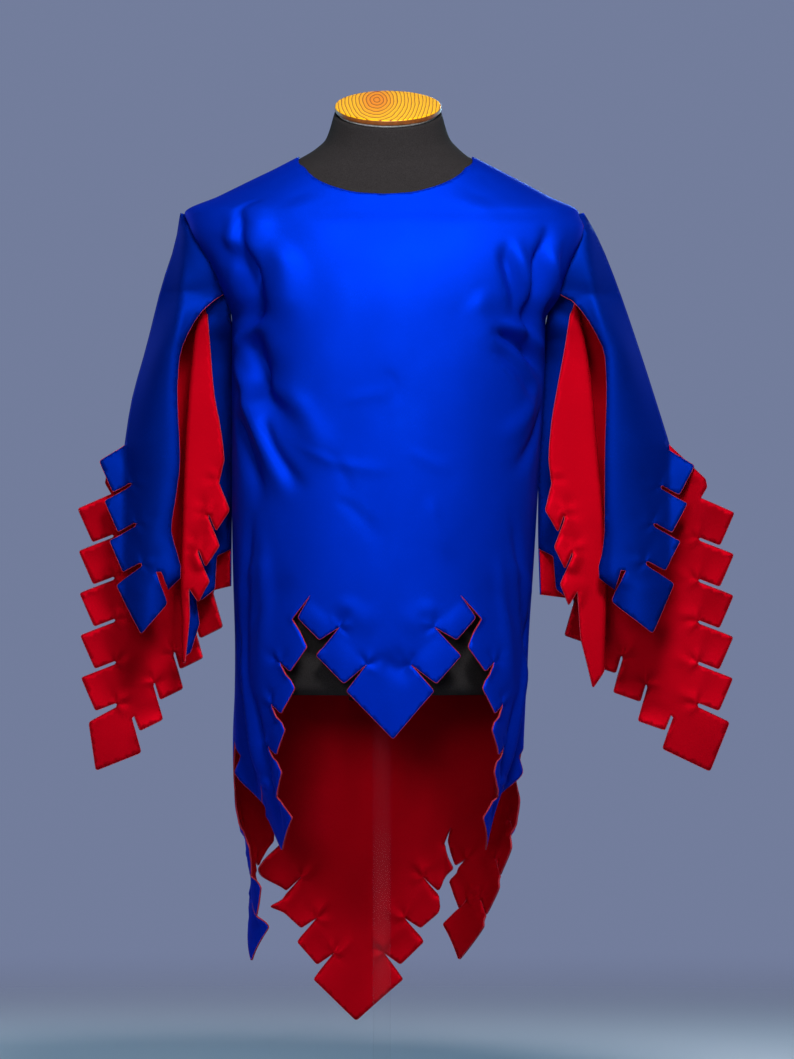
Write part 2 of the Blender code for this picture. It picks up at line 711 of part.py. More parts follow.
def loft(name, rings, group, material):
    """Closed body through a stack of rings."""
    shape = bmesh.new()
    loops = []
    for ring in rings:
        circle = bmesh.ops.create_circle(shape, segments=len(ring), radius=1.0, cap_ends=False)
        for vertex, place in zip(circle["verts"], ring):
            vertex.co = Vector(place) * MM
        shape.edges.index_update()
        loops.append(circle["verts"])
    shape.verts.ensure_lookup_table()
    for low, high in zip(loops, loops[1:]):
        members = set(low) | set(high)
        edges = [e for e in shape.edges if e.verts[0] in members and e.verts[1] in members]
        flat = [e for e in edges if (e.verts[0] in set(low)) == (e.verts[1] in set(low))]
        bmesh.ops.bridge_loops(shape, edges=flat)
    shape.faces.new(loops[0])
    shape.faces.new(loops[-1])
    bmesh.ops.recalc_face_normals(shape, faces=shape.faces[:])
    mesh = bpy.data.meshes.new(name)
    shape.to_mesh(mesh)
    shape.free()
    return link(bpy.data.objects.new(name, mesh), group, material)


def disc(name, radius, height, bottom, centre, segments, edge, group, material, tilt=0.0):
    """Round plate with softened rims, tipped forward by the given angle."""
    shape = bmesh.new()
    bmesh.ops.create_cone(shape, cap_ends=True, segments=segments, radius1=radius * MM,
                          radius2=radius * MM, depth=height * MM)
    if edge:
        rims = [e for e in shape.edges if abs(e.verts[0].co.z - e.verts[1].co.z) < 1e-7]
        bmesh.ops.bevel(shape, geom=rims, offset=edge * MM, segments=2, profile=0.5,
                        affect="EDGES", material=-1)
    bmesh.ops.translate(shape, verts=shape.verts[:], vec=(0, 0, height * MM / 2))
    bmesh.ops.rotate(shape, verts=shape.verts[:], cent=(0, 0, 0), matrix=Matrix.Rotation(tilt, 3, "X"))
    bmesh.ops.translate(shape, verts=shape.verts[:], vec=(centre * MM, 0, bottom * MM))
    mesh = bpy.data.meshes.new(name)
    shape.to_mesh(mesh)
    shape.free()
    return link(bpy.data.objects.new(name, mesh), group, material)


def build_form(group, paint):
    """Dress form: padded torso, rim and wooden neck cap, on a pole and round base."""
    rings = []
    last = len(FORM["z"]) - 1
    for index, z in enumerate(FORM["z"]):
        tilt = NECK_TILT * max(0.0, (index - (last - 4)) / 4.0)
        row = [FORM[name][index] for name in ("centre", "half", "front", "back")]
        rings.append(ring_points(z, *row, tilt))
    loft("form_torso", rings, group, paint["black_jersey"])
    top = FORM["z"][-1] + FIT_GAP
    rise = (RING_HEIGHT + FIT_GAP) / math.cos(NECK_TILT)
    disc("neck_rim", RING_RADIUS, RING_HEIGHT, top, 0, 48, 1.0, group, paint["white_rim"], NECK_TILT)
    disc("neck_cap", CAP_RADIUS, CAP_HEIGHT, top + rise, 0, 48, CAP_EDGE, group,
         paint["varnished_wood"], NECK_TILT)
    flange_low = FORM["z"][0] - FIT_GAP - FLANGE_HEIGHT
    disc("stand_base", BASE_RADIUS, BASE_HEIGHT, 0, STAND_CENTRE, 48, 3.0, group, paint["dark_steel"])
    disc("stand_collar", COLLAR_RADIUS, COLLAR_HEIGHT, BASE_HEIGHT + FIT_GAP, STAND_CENTRE, 24, 3.0,
         group, paint["dark_steel"])
    pole_low = BASE_HEIGHT + COLLAR_HEIGHT + 2 * FIT_GAP
    disc("stand_pole", POLE_RADIUS, flange_low - FIT_GAP - pole_low, pole_low, STAND_CENTRE, 24, 0,
         group, paint["clear_acrylic"])
    disc("stand_flange", FLANGE_RADIUS, FLANGE_HEIGHT, flange_low, STAND_CENTRE, 32, 1.5, group,
         paint["dark_steel"])


def build_body(group, paint):
    """Front and back panels and the back lining."""
    blue, red = paint["blue_cloth"], paint["red_lining"]
    cloth("front_panel", cut_flat(front_outline()), drape_body, False, OUTER_WALL, True, group, blue)
    back = cut_flat(back_outline())
    cloth("back_panel", back, drape_back, False, OUTER_WALL, True, group, blue)
    cloth("back_lining", back, drape_back, False, LINING_WALL, False, group, red,
          lambda corners: max(c[1] for c in corners) < LINING_TOP)


def build_sleeve(side, group, paint):
    """The three pieces of one hanging sleeve and the linings that show."""
    blue, red = paint["blue_cloth"], paint["red_lining"]
    sign = 1.0 if side == "right" else -1.0
    label = "left" if side == "right" else "right"

    def drape_front(out, z):
        return sign * out, sleeve_front_depth(out, z, side), z

    def drape_back_half(out, z):
        return sign * out, sleeve_back_depth(out, z, side), z

    def drape_strip(along, z):
        out, y = strip_place(along, z, side)
        return sign * out, y, z

    def turned(corners):
        for along, z in corners:
            width, bend = strip_layout(z, side)
            if along < width + (bend - 1.0 if z < LOW_TURN else bend * 0.2):
                return False
        return True

    mirrored = side == "left"
    front = cut_flat(sleeve_front_outline(side), 34.0, 40.0)
    cloth(f"sleeve_{label}_front", front, drape_front, mirrored, OUTER_WALL, True, group, blue)
    back = cut_flat(sleeve_back_outline(side), 38.0, 44.0)
    cloth(f"sleeve_{label}_back", back, drape_back_half, not mirrored, OUTER_WALL, True, group, blue)
    cloth(f"sleeve_{label}_back_lining", back, drape_back_half, not mirrored, LINING_WALL, False,
          group, red, lambda corners: max(c[1] for c in corners) < 990.0)
    strip = cut_flat(sleeve_strip_outline(side), 30.0, 36.0, strip_guides(side))
    cloth(f"sleeve_{label}_strip", strip, drape_strip, mirrored, OUTER_WALL, True, group, blue,
          gap=STRIP_GAP)
    cloth(f"sleeve_{label}_strip_lining", strip, drape_strip, mirrored, LINING_WALL, False,
          group, red, turned, STRIP_GAP)


def centre_on_origin(group):
    """Move everything so the origin is the middle of the whole part's footprint."""
    bpy.context.view_layer.update()
    graph = bpy.context.evaluated_depsgraph_get()
    low = np.full(3, 1e9)
    high = np.full(3, -1e9)
    for obj in group.objects:
        solid = obj.evaluated_get(graph)
        mesh = solid.to_mesh()
        flat = np.empty(len(mesh.vertices) * 3)
        mesh.vertices.foreach_get("co", flat)
        solid.to_mesh_clear()
        low = np.minimum(low, flat.reshape(-1, 3).min(axis=0))
        high = np.maximum(high, flat.reshape(-1, 3).max(axis=0))
    middle = (low + high) / 2
    for obj in group.objects:
        obj.data.transform(Matrix.Translation((-middle[0], -middle[1], -low[2])))


def main():
    """Build the surcoat on its dress form."""
    clear_scene()
    group = bpy.data.collections.new(COLLECTION)
    bpy.context.scene.collection.children.link(group)
    paint = {name: make_material(name) for name in MATERIALS}
    build_form(group, paint)
    build_body(group, paint)
    build_sleeve("left", group, paint)
    build_sleeve("right", group, paint)
    centre_on_origin(group)


main()
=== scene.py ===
"""Looks of a lined surcoat with dagged hems and hanging sleeves, worn on a dress form.

Pattern tables are in millimetres, as on the cutting table; meshes are made in metres.
The wearer faces -Y. Body cloth is cut as (s, z): s runs round the body from centre front.
"""

import logging
import math
from dataclasses import dataclass, field
from enum import Enum
from typing import Callable, Sequence

import bmesh
import bpy
import numpy as np
from mathutils import Matrix, Vector
from mathutils.geometry import delaunay_2d_cdt


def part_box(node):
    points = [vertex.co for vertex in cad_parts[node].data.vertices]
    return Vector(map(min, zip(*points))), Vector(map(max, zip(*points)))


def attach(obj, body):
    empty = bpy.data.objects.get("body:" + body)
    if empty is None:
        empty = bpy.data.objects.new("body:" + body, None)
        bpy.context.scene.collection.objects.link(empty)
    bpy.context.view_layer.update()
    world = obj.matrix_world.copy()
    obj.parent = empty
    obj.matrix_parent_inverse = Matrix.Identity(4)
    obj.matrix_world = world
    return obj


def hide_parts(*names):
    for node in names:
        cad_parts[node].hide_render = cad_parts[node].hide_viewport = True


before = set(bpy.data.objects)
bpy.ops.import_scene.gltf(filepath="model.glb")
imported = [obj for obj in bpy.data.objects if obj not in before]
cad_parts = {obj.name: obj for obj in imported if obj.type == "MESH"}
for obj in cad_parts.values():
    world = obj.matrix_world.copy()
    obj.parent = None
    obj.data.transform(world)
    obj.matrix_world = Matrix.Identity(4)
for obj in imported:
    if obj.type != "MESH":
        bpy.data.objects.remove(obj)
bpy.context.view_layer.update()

logging.basicConfig(level=logging.INFO, format="%(message)s")
LOG = logging.getLogger("surcoat")

MM = 0.001
BODY_NAME = "root"
BASE_LOW, BASE_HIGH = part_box("stand_base")
BASE_OFFSET = 0.008  # the body's middle lies this far beside the stand's
MIDDLE_X = BASE_LOW[0] + (BASE_HIGH[0] - BASE_LOW[0]) / 2 + BASE_OFFSET
TAB_ROUNDING = 3.2  # corners of the tabs
TIP_ROUNDING = 4.0  # corners of the hem's and sleeves' points
SLOT_DEPTH = 0.6  # how far a slot reaches past the tabs' line, as a share of its width
ARM_CLEARANCE = 1.4  # between the armhole and the under half of a sleeve
SHOULDER_TOP = 1132.0  # height where the sleeves' seam starts
Point = np.ndarray


class Edge(Enum):
    """What a stretch of a piece's outline is: left free with its lining showing, or sewn or turned over."""

    FREE = "free"
    SEAM = "seam"


class Side(Enum):
    """Side of the picture on which a sleeve hangs, with the wearer's name for it."""

    PICTURE_LEFT = ("left", "right", -1.0)
    PICTURE_RIGHT = ("right", "left", 1.0)

    @property
    def column(self) -> str:
        """Column of the sleeve tables for this side."""
        return self.value[0]

    @property
    def label(self) -> str:
        """The wearer's own name for this side."""
        return self.value[1]

    @property
    def sign(self) -> float:
        """Which way along X this side lies."""
        return self.value[2]


def unit(vector: Point) -> Point:
    """Return the vector at length one."""
    return vector / max(float(np.hypot(vector[0], vector[1])), 1e-9)


def ease(value: Point, low: float, high: float) -> Point:
    """Smooth step from 0 at low to 1 at high.

    Args:
        value: Where to read the step.
        low: Start of the step.
        high: End of the step; it may be below low.

    Returns:
        The step at each value.
    """
    place = np.clip((np.asarray(value, float) - low) / (high - low), 0.0, 1.0)
    return place * place * (3.0 - 2.0 * place)


def smooth_read(heights: Sequence[float], values: Sequence[float], at: Point) -> Point:
    """Read a table through a smooth curve that never overshoots its rows.

    Args:
        heights: Rising places of the rows.
        values: The rows' values.
        at: Where to read.

    Returns:
        The value at each place, held flat past both ends.
    """
    h = np.asarray(heights, float)
    v = np.asarray(values, float)
    step = np.diff(h)
    slope = np.diff(v) / step
    grade = np.zeros(len(h))
    for i in range(1, len(h) - 1):
        if slope[i - 1] * slope[i] > 0:
            grade[i] = 2.0 * slope[i - 1] * slope[i] / (slope[i - 1] + slope[i])
    grade[0], grade[-1] = slope[0], slope[-1]
    x = np.clip(np.asarray(at, float), h[0], h[-1])
    k = np.clip(np.searchsorted(h, x, side="right") - 1, 0, len(h) - 2)
    t = (x - h[k]) / step[k]
    left = (1 + 2 * t) * (1 - t) ** 2 * v[k] + t * (1 - t) ** 2 * step[k] * grade[k]
    right = t * t * (3 - 2 * t) * v[k + 1] + t * t * (t - 1) * step[k] * grade[k + 1]
    return left + right


# Outlines and flat cutting

@dataclass(frozen=True)
class Tab:
    """One square tab of a dagged edge, on the flat pattern."""

    root: tuple[float, float]
    aim: tuple[float, float]
    width: float
    length: float


@dataclass
class Outline:
    """Closed outline of a flat piece: corners, what each edge is, and how round each corner is."""

    points: list[Point] = field(default_factory=list)
    edges: list[Edge] = field(default_factory=list)
    rounds: list[float] = field(default_factory=list)
    tabs: list[Tab] = field(default_factory=list)
    slots: list[tuple[Point, Point]] = field(default_factory=list)

    def add(self, point: Sequence[float], edge: Edge = Edge.FREE, rounding: float = 0.0) -> None:
        """Add a corner and say what the edge after it is.

        Args:
            point: Place of the corner.
            edge: What the edge after it is.
            rounding: Radius of its rounding, nought for a sharp corner.
        """
        self.points.append(np.array(point, float))
        self.edges.append(edge)
        self.rounds.append(rounding)

    def extend(self, other: "Outline") -> None:
        """Append another run of outline.

        Args:
            other: The run to append.
        """
        self.points += other.points
        self.edges += other.edges
        self.rounds += other.rounds
        self.tabs += other.tabs
        self.slots += other.slots

    def drop_last(self) -> None:
        """Take off the last corner."""
        for row in (self.points, self.edges, self.rounds):
            row.pop()

    def reversed(self, mirror: Callable[[Point], Point]) -> "Outline":
        """The same run walked the other way, each point passed through mirror.

        Args:
            mirror: Moves a point to its mirrored place.

        Returns:
            The mirrored run.
        """
        run = Outline()
        run.points = [mirror(p) for p in self.points[::-1]]
        run.edges = self.edges[::-1][1:] + [self.edges[0]]
        run.rounds = self.rounds[::-1]
        origin = mirror(np.zeros(2))
        for tab in self.tabs:
            run.tabs.append(Tab(tuple(mirror(np.array(tab.root))), tuple(mirror(np.array(tab.aim)) - origin),
                                tab.width, tab.length))
        run.slots = [(mirror(a), mirror(b) - origin) for a, b in self.slots]
        return run

    def dags(self, start: Sequence[float], end: Sequence[float], count: int, aim: Sequence[float],
             lead: float, trail: float, slot: float) -> None:
        """Add square tabs with narrow slots between them along a hem line.

        Args:
            start: Where the first tab begins.
            end: Where the last tab ends.
            count: How many tabs.
            aim: The way the tabs point.
            lead: Length of each tab's first side.
            trail: Length of each tab's second side.
            slot: Width of a slot.
        """
        begin = np.array(start, float)
        step = (np.array(end, float) - begin) / count
        along = unit(step)
        way = unit(np.array(aim, float))
        for index in range(count):
            near = begin + step * index
            far = begin + step * (index + 1)
            if index:
                self.add(near + along * slot / 2)
            self.add(near + along * slot / 2 + way * lead, rounding=TAB_ROUNDING)
            self.add(far - along * slot / 2 + way * trail, rounding=TAB_ROUNDING)
            self.add(far - along * slot / 2)
            self.add(far - way * slot * SLOT_DEPTH, rounding=1.2)
            root = tuple((near + far) / 2)
            self.tabs.append(Tab(root, tuple(way), float(np.hypot(*step)), (lead + trail) / 2))
            self.slots.append((far - way * slot * SLOT_DEPTH, way))

    def walk(self, longest: float) -> tuple[list[Point], list[Edge]]:
        """Round the corners and add points so no step is longer than asked.

        Args:
            longest: Longest step between neighbouring points.

        Returns:
            The points, and what the edge after each one is.
        """
        points: list[Point] = []
        edges: list[Edge] = []
        count = len(self.points)
        for index in range(count):
            here = self.points[index]
            before = self.points[index - 1]
            after = self.points[(index + 1) % count]
            radius = self.rounds[index]
            if radius:
                back = min(radius, float(np.hypot(*(before - here))) * 0.45)
                on = min(radius, float(np.hypot(*(after - here))) * 0.45)
                enter = here + unit(before - here) * back
                leave = here + unit(after - here) * on
                for t in (0.0, 0.33, 0.67, 1.0):
                    points.append(enter * (1 - t) ** 2 + here * 2 * t * (1 - t) + leave * t * t)
                    edges.append(self.edges[index])
            else:
                points.append(here)
                edges.append(self.edges[index])
        fine: list[Point] = []
        kinds: list[Edge] = []
        for index, point in enumerate(points):
            following = points[(index + 1) % len(points)]
            span = float(np.hypot(*(following - point)))
            if span < 0.15:
                continue
            pieces = max(1, math.ceil(span / longest))
            for part in range(pieces):
                fine.append(point + (following - point) * (part / pieces))
                kinds.append(edges[index])
        return fine, kinds


@dataclass
class FlatCut:
    """A flat piece cut out and meshed: its points, triangles and rim."""

    points: Point
    faces: list[tuple[int, ...]]
    rim: int
    kinds: list[Edge]
    outline: Outline

    @staticmethod
    def inside(points: Point, rim: Point) -> Point:
        """Which of the points lie inside the closed rim.

        Args:
            points: Points to test.
            rim: The closed rim.

        Returns:
            True for each point inside.
        """
        result = np.zeros(len(points), bool)
        px, py = points[:, 0], points[:, 1]
        for a, b in zip(rim, np.roll(rim, -1, axis=0)):
            if a[1] == b[1]:
                continue
            crosses = (a[1] > py) != (b[1] > py)
            result ^= crosses & (px < (b[0] - a[0]) * (py - a[1]) / (b[1] - a[1]) + a[0])
        return result

    @staticmethod
    def clear_of(points: Point, rim: Point, reach: float) -> Point:
        """Which of the points keep at least the given distance from the rim's points.

        Args:
            points: Points to test.
            rim: Points to stay clear of.
            reach: The distance.

        Returns:
            True for each point that is clear.
        """
        keep = np.ones(len(points), bool)
        for start in range(0, len(points), 2000):
            part = points[start:start + 2000]
            gap = (part[:, None, 0] - rim[None, :, 0]) ** 2 + (part[:, None, 1] - rim[None, :, 1]) ** 2
            keep[start:start + 2000] = gap.min(axis=1) > reach * reach
        return keep

    @classmethod
    def cut(cls, outline: Outline, pitch: float, extra: Sequence[tuple[float, float]] = ()) -> "FlatCut":
        """Mesh a flat piece with an even lattice.

        Args:
            outline: Outline of the piece.
            pitch: Lattice spacing.
            extra: Further points to keep, such as along a fold.

        Returns:
            The meshed piece.
        """
        fine, kinds = outline.walk(pitch * 0.95)
        rim = np.array(fine)
        low, high = rim.min(axis=0), rim.max(axis=0)
        rows = []
        for row, z in enumerate(np.arange(low[1] + pitch * 0.4, high[1], pitch * 0.866)):
            across = np.arange(low[0] + pitch * 0.5 * (row % 2), high[0], pitch)
            rows.append(np.column_stack([across, np.full(len(across), z)]))
        fill = np.vstack(rows)
        fill = fill[cls.inside(fill, rim)]
        fill = fill[cls.clear_of(fill, rim, pitch * 0.55)]
        if len(extra):
            lines = np.array(extra, float)
            lines = lines[cls.inside(lines, rim)]
            lines = lines[cls.clear_of(lines, rim, 1.2)]
            fill = fill[cls.clear_of(fill, lines, pitch * 0.5)]
            fill = np.vstack([fill, lines])
        every = np.vstack([rim, fill])
        loop = [(i, (i + 1) % len(rim)) for i in range(len(rim))]
        found = delaunay_2d_cdt([Vector(p) for p in every], loop, [], 1, 1e-5)
        points = np.array([tuple(p) for p in found[0]])
        return cls(points, [tuple(f) for f in found[2]], len(rim), kinds, outline)


# Surface relief

@dataclass(frozen=True)
class Crease:
    """A soft ridge or trough on the flat pattern: out is its height, below nought for a trough."""

    start: tuple[float, float]
    end: tuple[float, float]
    width: float
    out: float
    bow: float = 0.0
    skew: float = 0.0

    def height(self, s: Point, z: Point) -> Point:
        """Height of the crease at places on the pattern.

        Args:
            s: Place across the pattern.
            z: Place up the pattern.

        Returns:
            Height at each place.
        """
        a = np.array(self.start, float)
        run = np.array(self.end, float) - a
        length = float(np.hypot(*run))
        way = run / length
        along = ((s - a[0]) * way[0] + (z - a[1]) * way[1]) / length
        off = (s - a[0]) * -way[1] + (z - a[1]) * way[0]
        off = off - self.bow * 4.0 * along * (1.0 - along)
        spread = self.width * (0.7 + 0.6 * np.clip(along, 0.0, 1.0))
        fade = ease(along, -0.12, 0.22) * ease(along, 1.12, 0.6)
        lean = off / spread
        steep = lean * (1 if self.skew >= 0 else -1) > 0
        shape = np.exp(-lean * lean * np.where(steep, 1.0 + abs(self.skew), 1.0))
        return self.out * fade * shape


def relief(creases: Sequence[Crease], s: Point, z: Point) -> Point:
    """Total height of the creases at places on the pattern.

    Args:
        creases: The creases.
        s: Place across the pattern.
        z: Place up the pattern.

    Returns:
        Height at each place.
    """
    total = np.zeros(len(s))
    for crease in creases:
        total += crease.height(s, z)
    return total


def ripple(s: Point, z: Point, seed: float, reach: float, size: float) -> Point:
    """Gentle unevenness of hung cloth.

    Args:
        s: Place across the pattern.
        z: Place up the pattern.
        seed: Shifts the pattern so that pieces differ.
        reach: Typical distance between swells.
        size: Height of the swells.

    Returns:
        Height at each place.
    """
    total = np.zeros(len(s))
    waves = ((1.0, 0.45, 1.0), (-0.7, 1.1, 0.7), (1.9, -0.8, 0.45), (2.7, 1.7, 0.25))
    for k, (fx, fz, weight) in enumerate(waves):
        phase = seed * (k + 1.7) + 0.9 * np.sin(s / (reach * 2.3) + seed + k)
        total += weight * np.sin(s * fx / reach + z * fz / reach + phase)
    return total * size / 2.4


def tab_relief(outline: Outline, s: Point, z: Point, curl: float) -> Point:
    """Curl of every tab and the small pucker at the inner end of every slot.

    Args:
        outline: Outline that holds the tabs and slots.
        s: Place across the pattern.
        z: Place up the pattern.
        curl: How far a tab's edge stands off.

    Returns:
        Height at each place.
    """
    total = np.zeros(len(s))
    for index, tab in enumerate(outline.tabs):
        ds, dz = s - tab.root[0], z - tab.root[1]
        along = ds * tab.aim[0] + dz * tab.aim[1]
        across = -ds * tab.aim[1] + dz * tab.aim[0]
        reach = along / tab.length
        beside = ease(np.abs(across), tab.width * 0.62, tab.width * 0.42)
        hit = beside * ease(reach, 1.45, 1.1) * ease(reach, -0.1, 0.25)
        turn = 0.55 + 0.45 * math.sin(index * 2.4 + tab.root[1] * 0.05)
        twist = 0.5 * math.sin(index * 4.1 + 1.3)
        depth = np.clip(reach, 0.0, 1.3)
        total += hit * curl * depth ** 1.6 * (turn + twist * across / tab.width)
        crown = np.clip(1.0 - (2 * across / tab.width) ** 2, 0.0, 1.0)
        total += hit * 1.6 * crown * np.sin(math.pi * np.clip(reach, 0.0, 1.0))
    for index, (end, aim) in enumerate(outline.slots):
        ds, dz = s - end[0], z - end[1]
        along = ds * aim[0] + dz * aim[1]
        across = -ds * aim[1] + dz * aim[0]
        away = np.hypot(ds, dz)
        angle = np.arctan2(across, -along)
        inward = ease(-along, -5.0, 3.0)
        lean = 0.35 * math.sin(index * 3.3)
        fold = np.cos(3.0 * (angle + lean)) * np.exp(-((away - 8.0) / 8.0) ** 2)
        long_fold = np.exp(-((angle - lean) / 0.32) ** 2) * np.exp(-((away - 14.0) / 13.0) ** 2)
        total += inward * (1.7 * fold - 1.9 * long_fold - 1.2 * np.exp(-(away / 6.0) ** 2))
    return total


def slot_rings(outline: Outline) -> list[tuple[float, float]]:
    """Extra pattern points round the inner end of every slot, for its pucker.

    Args:
        outline: Outline that holds the slots.

    Returns:
        The points, on the pattern.
    """
    points = []
    for end, aim in outline.slots:
        heading = math.atan2(-aim[1], -aim[0])
        for row, reach in enumerate((3.0, 5.6, 8.4, 11.6, 15.2)):
            count = 5 + 2 * row
            for k in range(count):
                angle = heading + math.radians(-105.0 + 210.0 * (k + 0.5 * (row % 2)) / (count - 0.5))
                points.append((end[0] + reach * math.cos(angle), end[1] + reach * math.sin(angle)))
    return points


# Finishes

class NodeBoard:
    """Short-hand for wiring a material's nodes."""

    def __init__(self, name: str) -> None:
        """Start a material with an empty board and a Principled shader.

        Args:
            name: Name of the material.
        """
        self.material = bpy.data.materials.new(name)
        self.material.use_nodes = True
        self.tree = self.material.node_tree
        self.shader = self.tree.nodes["Principled BSDF"]

    def node(self, kind: str, **settings: object) -> bpy.types.Node:
        """Add a node and set its plain properties.

        Args:
            kind: Type name of the node.
            settings: Properties to set on it.

        Returns:
            The node.
        """
        made = self.tree.nodes.new(kind)
        for key, value in settings.items():
            setattr(made, key, value)
        return made

    def join(self, source: bpy.types.NodeSocket, target: bpy.types.NodeSocket) -> None:
        """Link two sockets."""
        self.tree.links.new(source, target)

    def scaled(self, source: bpy.types.NodeSocket, scale: tuple[float, float, float],
               turn: float = 0.0) -> bpy.types.NodeSocket:
        """Pass coordinates through a scale and a turn about Z.

        Args:
            source: The coordinates.
            scale: Scale along each axis.
            turn: Turn in radians.

        Returns:
            The scaled and turned coordinates.
        """
        mapping = self.node("ShaderNodeMapping")
        mapping.inputs["Scale"].default_value = scale
        mapping.inputs["Rotation"].default_value = (0.0, 0.0, turn)
        self.join(source, mapping.inputs["Vector"])
        return mapping.outputs["Vector"]

    def ramp(self, source: bpy.types.NodeSocket,
             stops: Sequence[tuple[float, tuple[float, ...]]]) -> bpy.types.NodeSocket:
        """Colour ramp over a value.

        Args:
            source: The value.
            stops: Place and colour of each stop.

        Returns:
            The colour.
        """
        ramp = self.node("ShaderNodeValToRGB")
        bar = ramp.color_ramp
        while len(bar.elements) < len(stops):
            bar.elements.new(0.5)
        for element, (place, color) in zip(bar.elements, stops):
            element.position = place
            element.color = color
        self.join(source, ramp.inputs["Fac"])
        return ramp.outputs["Color"]

    def noise(self, place: bpy.types.NodeSocket, scale: float, detail: float) -> bpy.types.NodeSocket:
        """Noise over coordinates.

        Args:
            place: The coordinates.
            scale: Scale of the noise.
            detail: Its detail.

        Returns:
            Its value.
        """
        made = self.node("ShaderNodeTexNoise")
        made.inputs["Scale"].default_value = scale
        made.inputs["Detail"].default_value = detail
        self.join(place, made.inputs["Vector"])
        return made.outputs["Fac"]

    def fade(self, source: bpy.types.NodeSocket, start: tuple[float, float],
             end: tuple[float, float]) -> bpy.types.NodeSocket:
        """Smooth change of a value from one level to another.

        Args:
            source: The value.
            start: Where the change starts, and the level there.
            end: Where it ends, and the level there.

        Returns:
            The changed value.
        """
        made = self.node("ShaderNodeMapRange", interpolation_type="SMOOTHSTEP")
        for name, value in zip(("From Min", "To Min", "From Max", "To Max"), start + end):
            made.inputs[name].default_value = value
        self.join(source, made.inputs["Value"])
        return made.outputs["Result"]

    def emboss(self, height: bpy.types.NodeSocket, strength: float, distance: float) -> None:
        """Give the shader a fine relief.

        Args:
            height: Height of the relief.
            strength: How strongly it shows.
            distance: Its depth in metres.
        """
        made = self.node("ShaderNodeBump")
        made.inputs["Strength"].default_value = strength
        made.inputs["Distance"].default_value = distance
        self.join(height, made.inputs["Height"])
        self.join(made.outputs["Normal"], self.shader.inputs["Normal"])


@dataclass(frozen=True)
class TwillFinish:
    """Fine cotton twill: colour, a lighter thread colour, roughness and the tint of its shine."""

    name: str
    color: tuple[float, float, float]
    light: tuple[float, float, float]
    roughness: float
    shine: tuple[float, float, float]
    thread: float = 0.00055
    band: float = 6.3
    slant: float = math.radians(63.0)
    patches: tuple[float, float, float] = (14.0, 9.0, 1.0)
    bump: float = 0.12
    depth: float = 0.0003
    specular: float = 0.05
    gloss: float = 0.55

    def material(self) -> bpy.types.Material:
        """Build the material on the piece's own pattern coordinates, in metres.

        Returns:
            The material.
        """
        board = NodeBoard(self.name)
        shader = board.shader
        place = board.node("ShaderNodeUVMap", uv_map="pattern").outputs["UV"]
        rate = 1.0 / self.thread
        diagonal = board.node("ShaderNodeTexWave", wave_type="BANDS", bands_direction="X")
        diagonal.inputs["Scale"].default_value = 1.0
        diagonal.inputs["Distortion"].default_value = 0.6
        diagonal.inputs["Detail Scale"].default_value = 2.0
        slanted = board.scaled(place, (rate / self.band, rate / self.band, 1.0), self.slant)
        board.join(slanted, diagonal.inputs["Vector"])
        yarn = board.noise(board.scaled(place, (rate * 0.9, rate * 0.16, 1.0)), 1.0, 2.0)
        broad = board.noise(board.scaled(place, self.patches), 1.0, 3.0)
        tone = board.node("ShaderNodeMix", data_type="FLOAT")
        tone.inputs[0].default_value = 0.55
        board.join(yarn, tone.inputs[2])
        board.join(broad, tone.inputs[3])
        dark = tuple(c * 0.86 for c in self.color) + (1.0,)
        stops = ((0.3, dark), (0.55, self.color + (1.0,)), (0.78, self.light + (1.0,)))
        board.join(board.ramp(tone.outputs[0], stops), shader.inputs["Base Color"])
        relief_mix = board.node("ShaderNodeMath", operation="MULTIPLY_ADD")
        relief_mix.inputs[1].default_value = 0.5
        board.join(yarn, relief_mix.inputs[0])
        board.join(diagonal.outputs["Fac"], relief_mix.inputs[2])
        board.emboss(relief_mix.outputs[0], self.bump, self.depth)
        shader.inputs["Roughness"].default_value = self.roughness
        shader.inputs["Specular IOR Level"].default_value = self.specular
        shader.inputs["Specular Tint"].default_value = self.shine + (1.0,)
        shader.inputs["Metallic"].default_value = self.gloss
        return board.material


@dataclass(frozen=True)
class PlainFinish:
    """A surface with a fine grain: colour, roughness, metal share and grain."""

    name: str
    color: tuple[float, float, float]
    roughness: float
    metallic: float = 0.0
    grain: float = 900.0
    bump: float = 0.1
    depth: float = 0.0004
    specular: float = 0.5

    def material(self) -> bpy.types.Material:
        """Build the material on object coordinates.

        Returns:
            The material.
        """
        board = NodeBoard(self.name)
        shader = board.shader
        place = board.node("ShaderNodeTexCoord").outputs["Object"]
        grain = board.noise(place, self.grain, 2.0)
        dark = tuple(c * 0.7 for c in self.color) + (1.0,)
        pale = tuple(min(c * 1.3 + 0.002, 1.0) for c in self.color) + (1.0,)
        board.join(board.ramp(grain, ((0.3, dark), (0.7, pale))), shader.inputs["Base Color"])
        board.emboss(grain, self.bump, self.depth)
        shader.inputs["Roughness"].default_value = self.roughness
        shader.inputs["Metallic"].default_value = self.metallic
        shader.inputs["Specular IOR Level"].default_value = self.specular
        return board.material


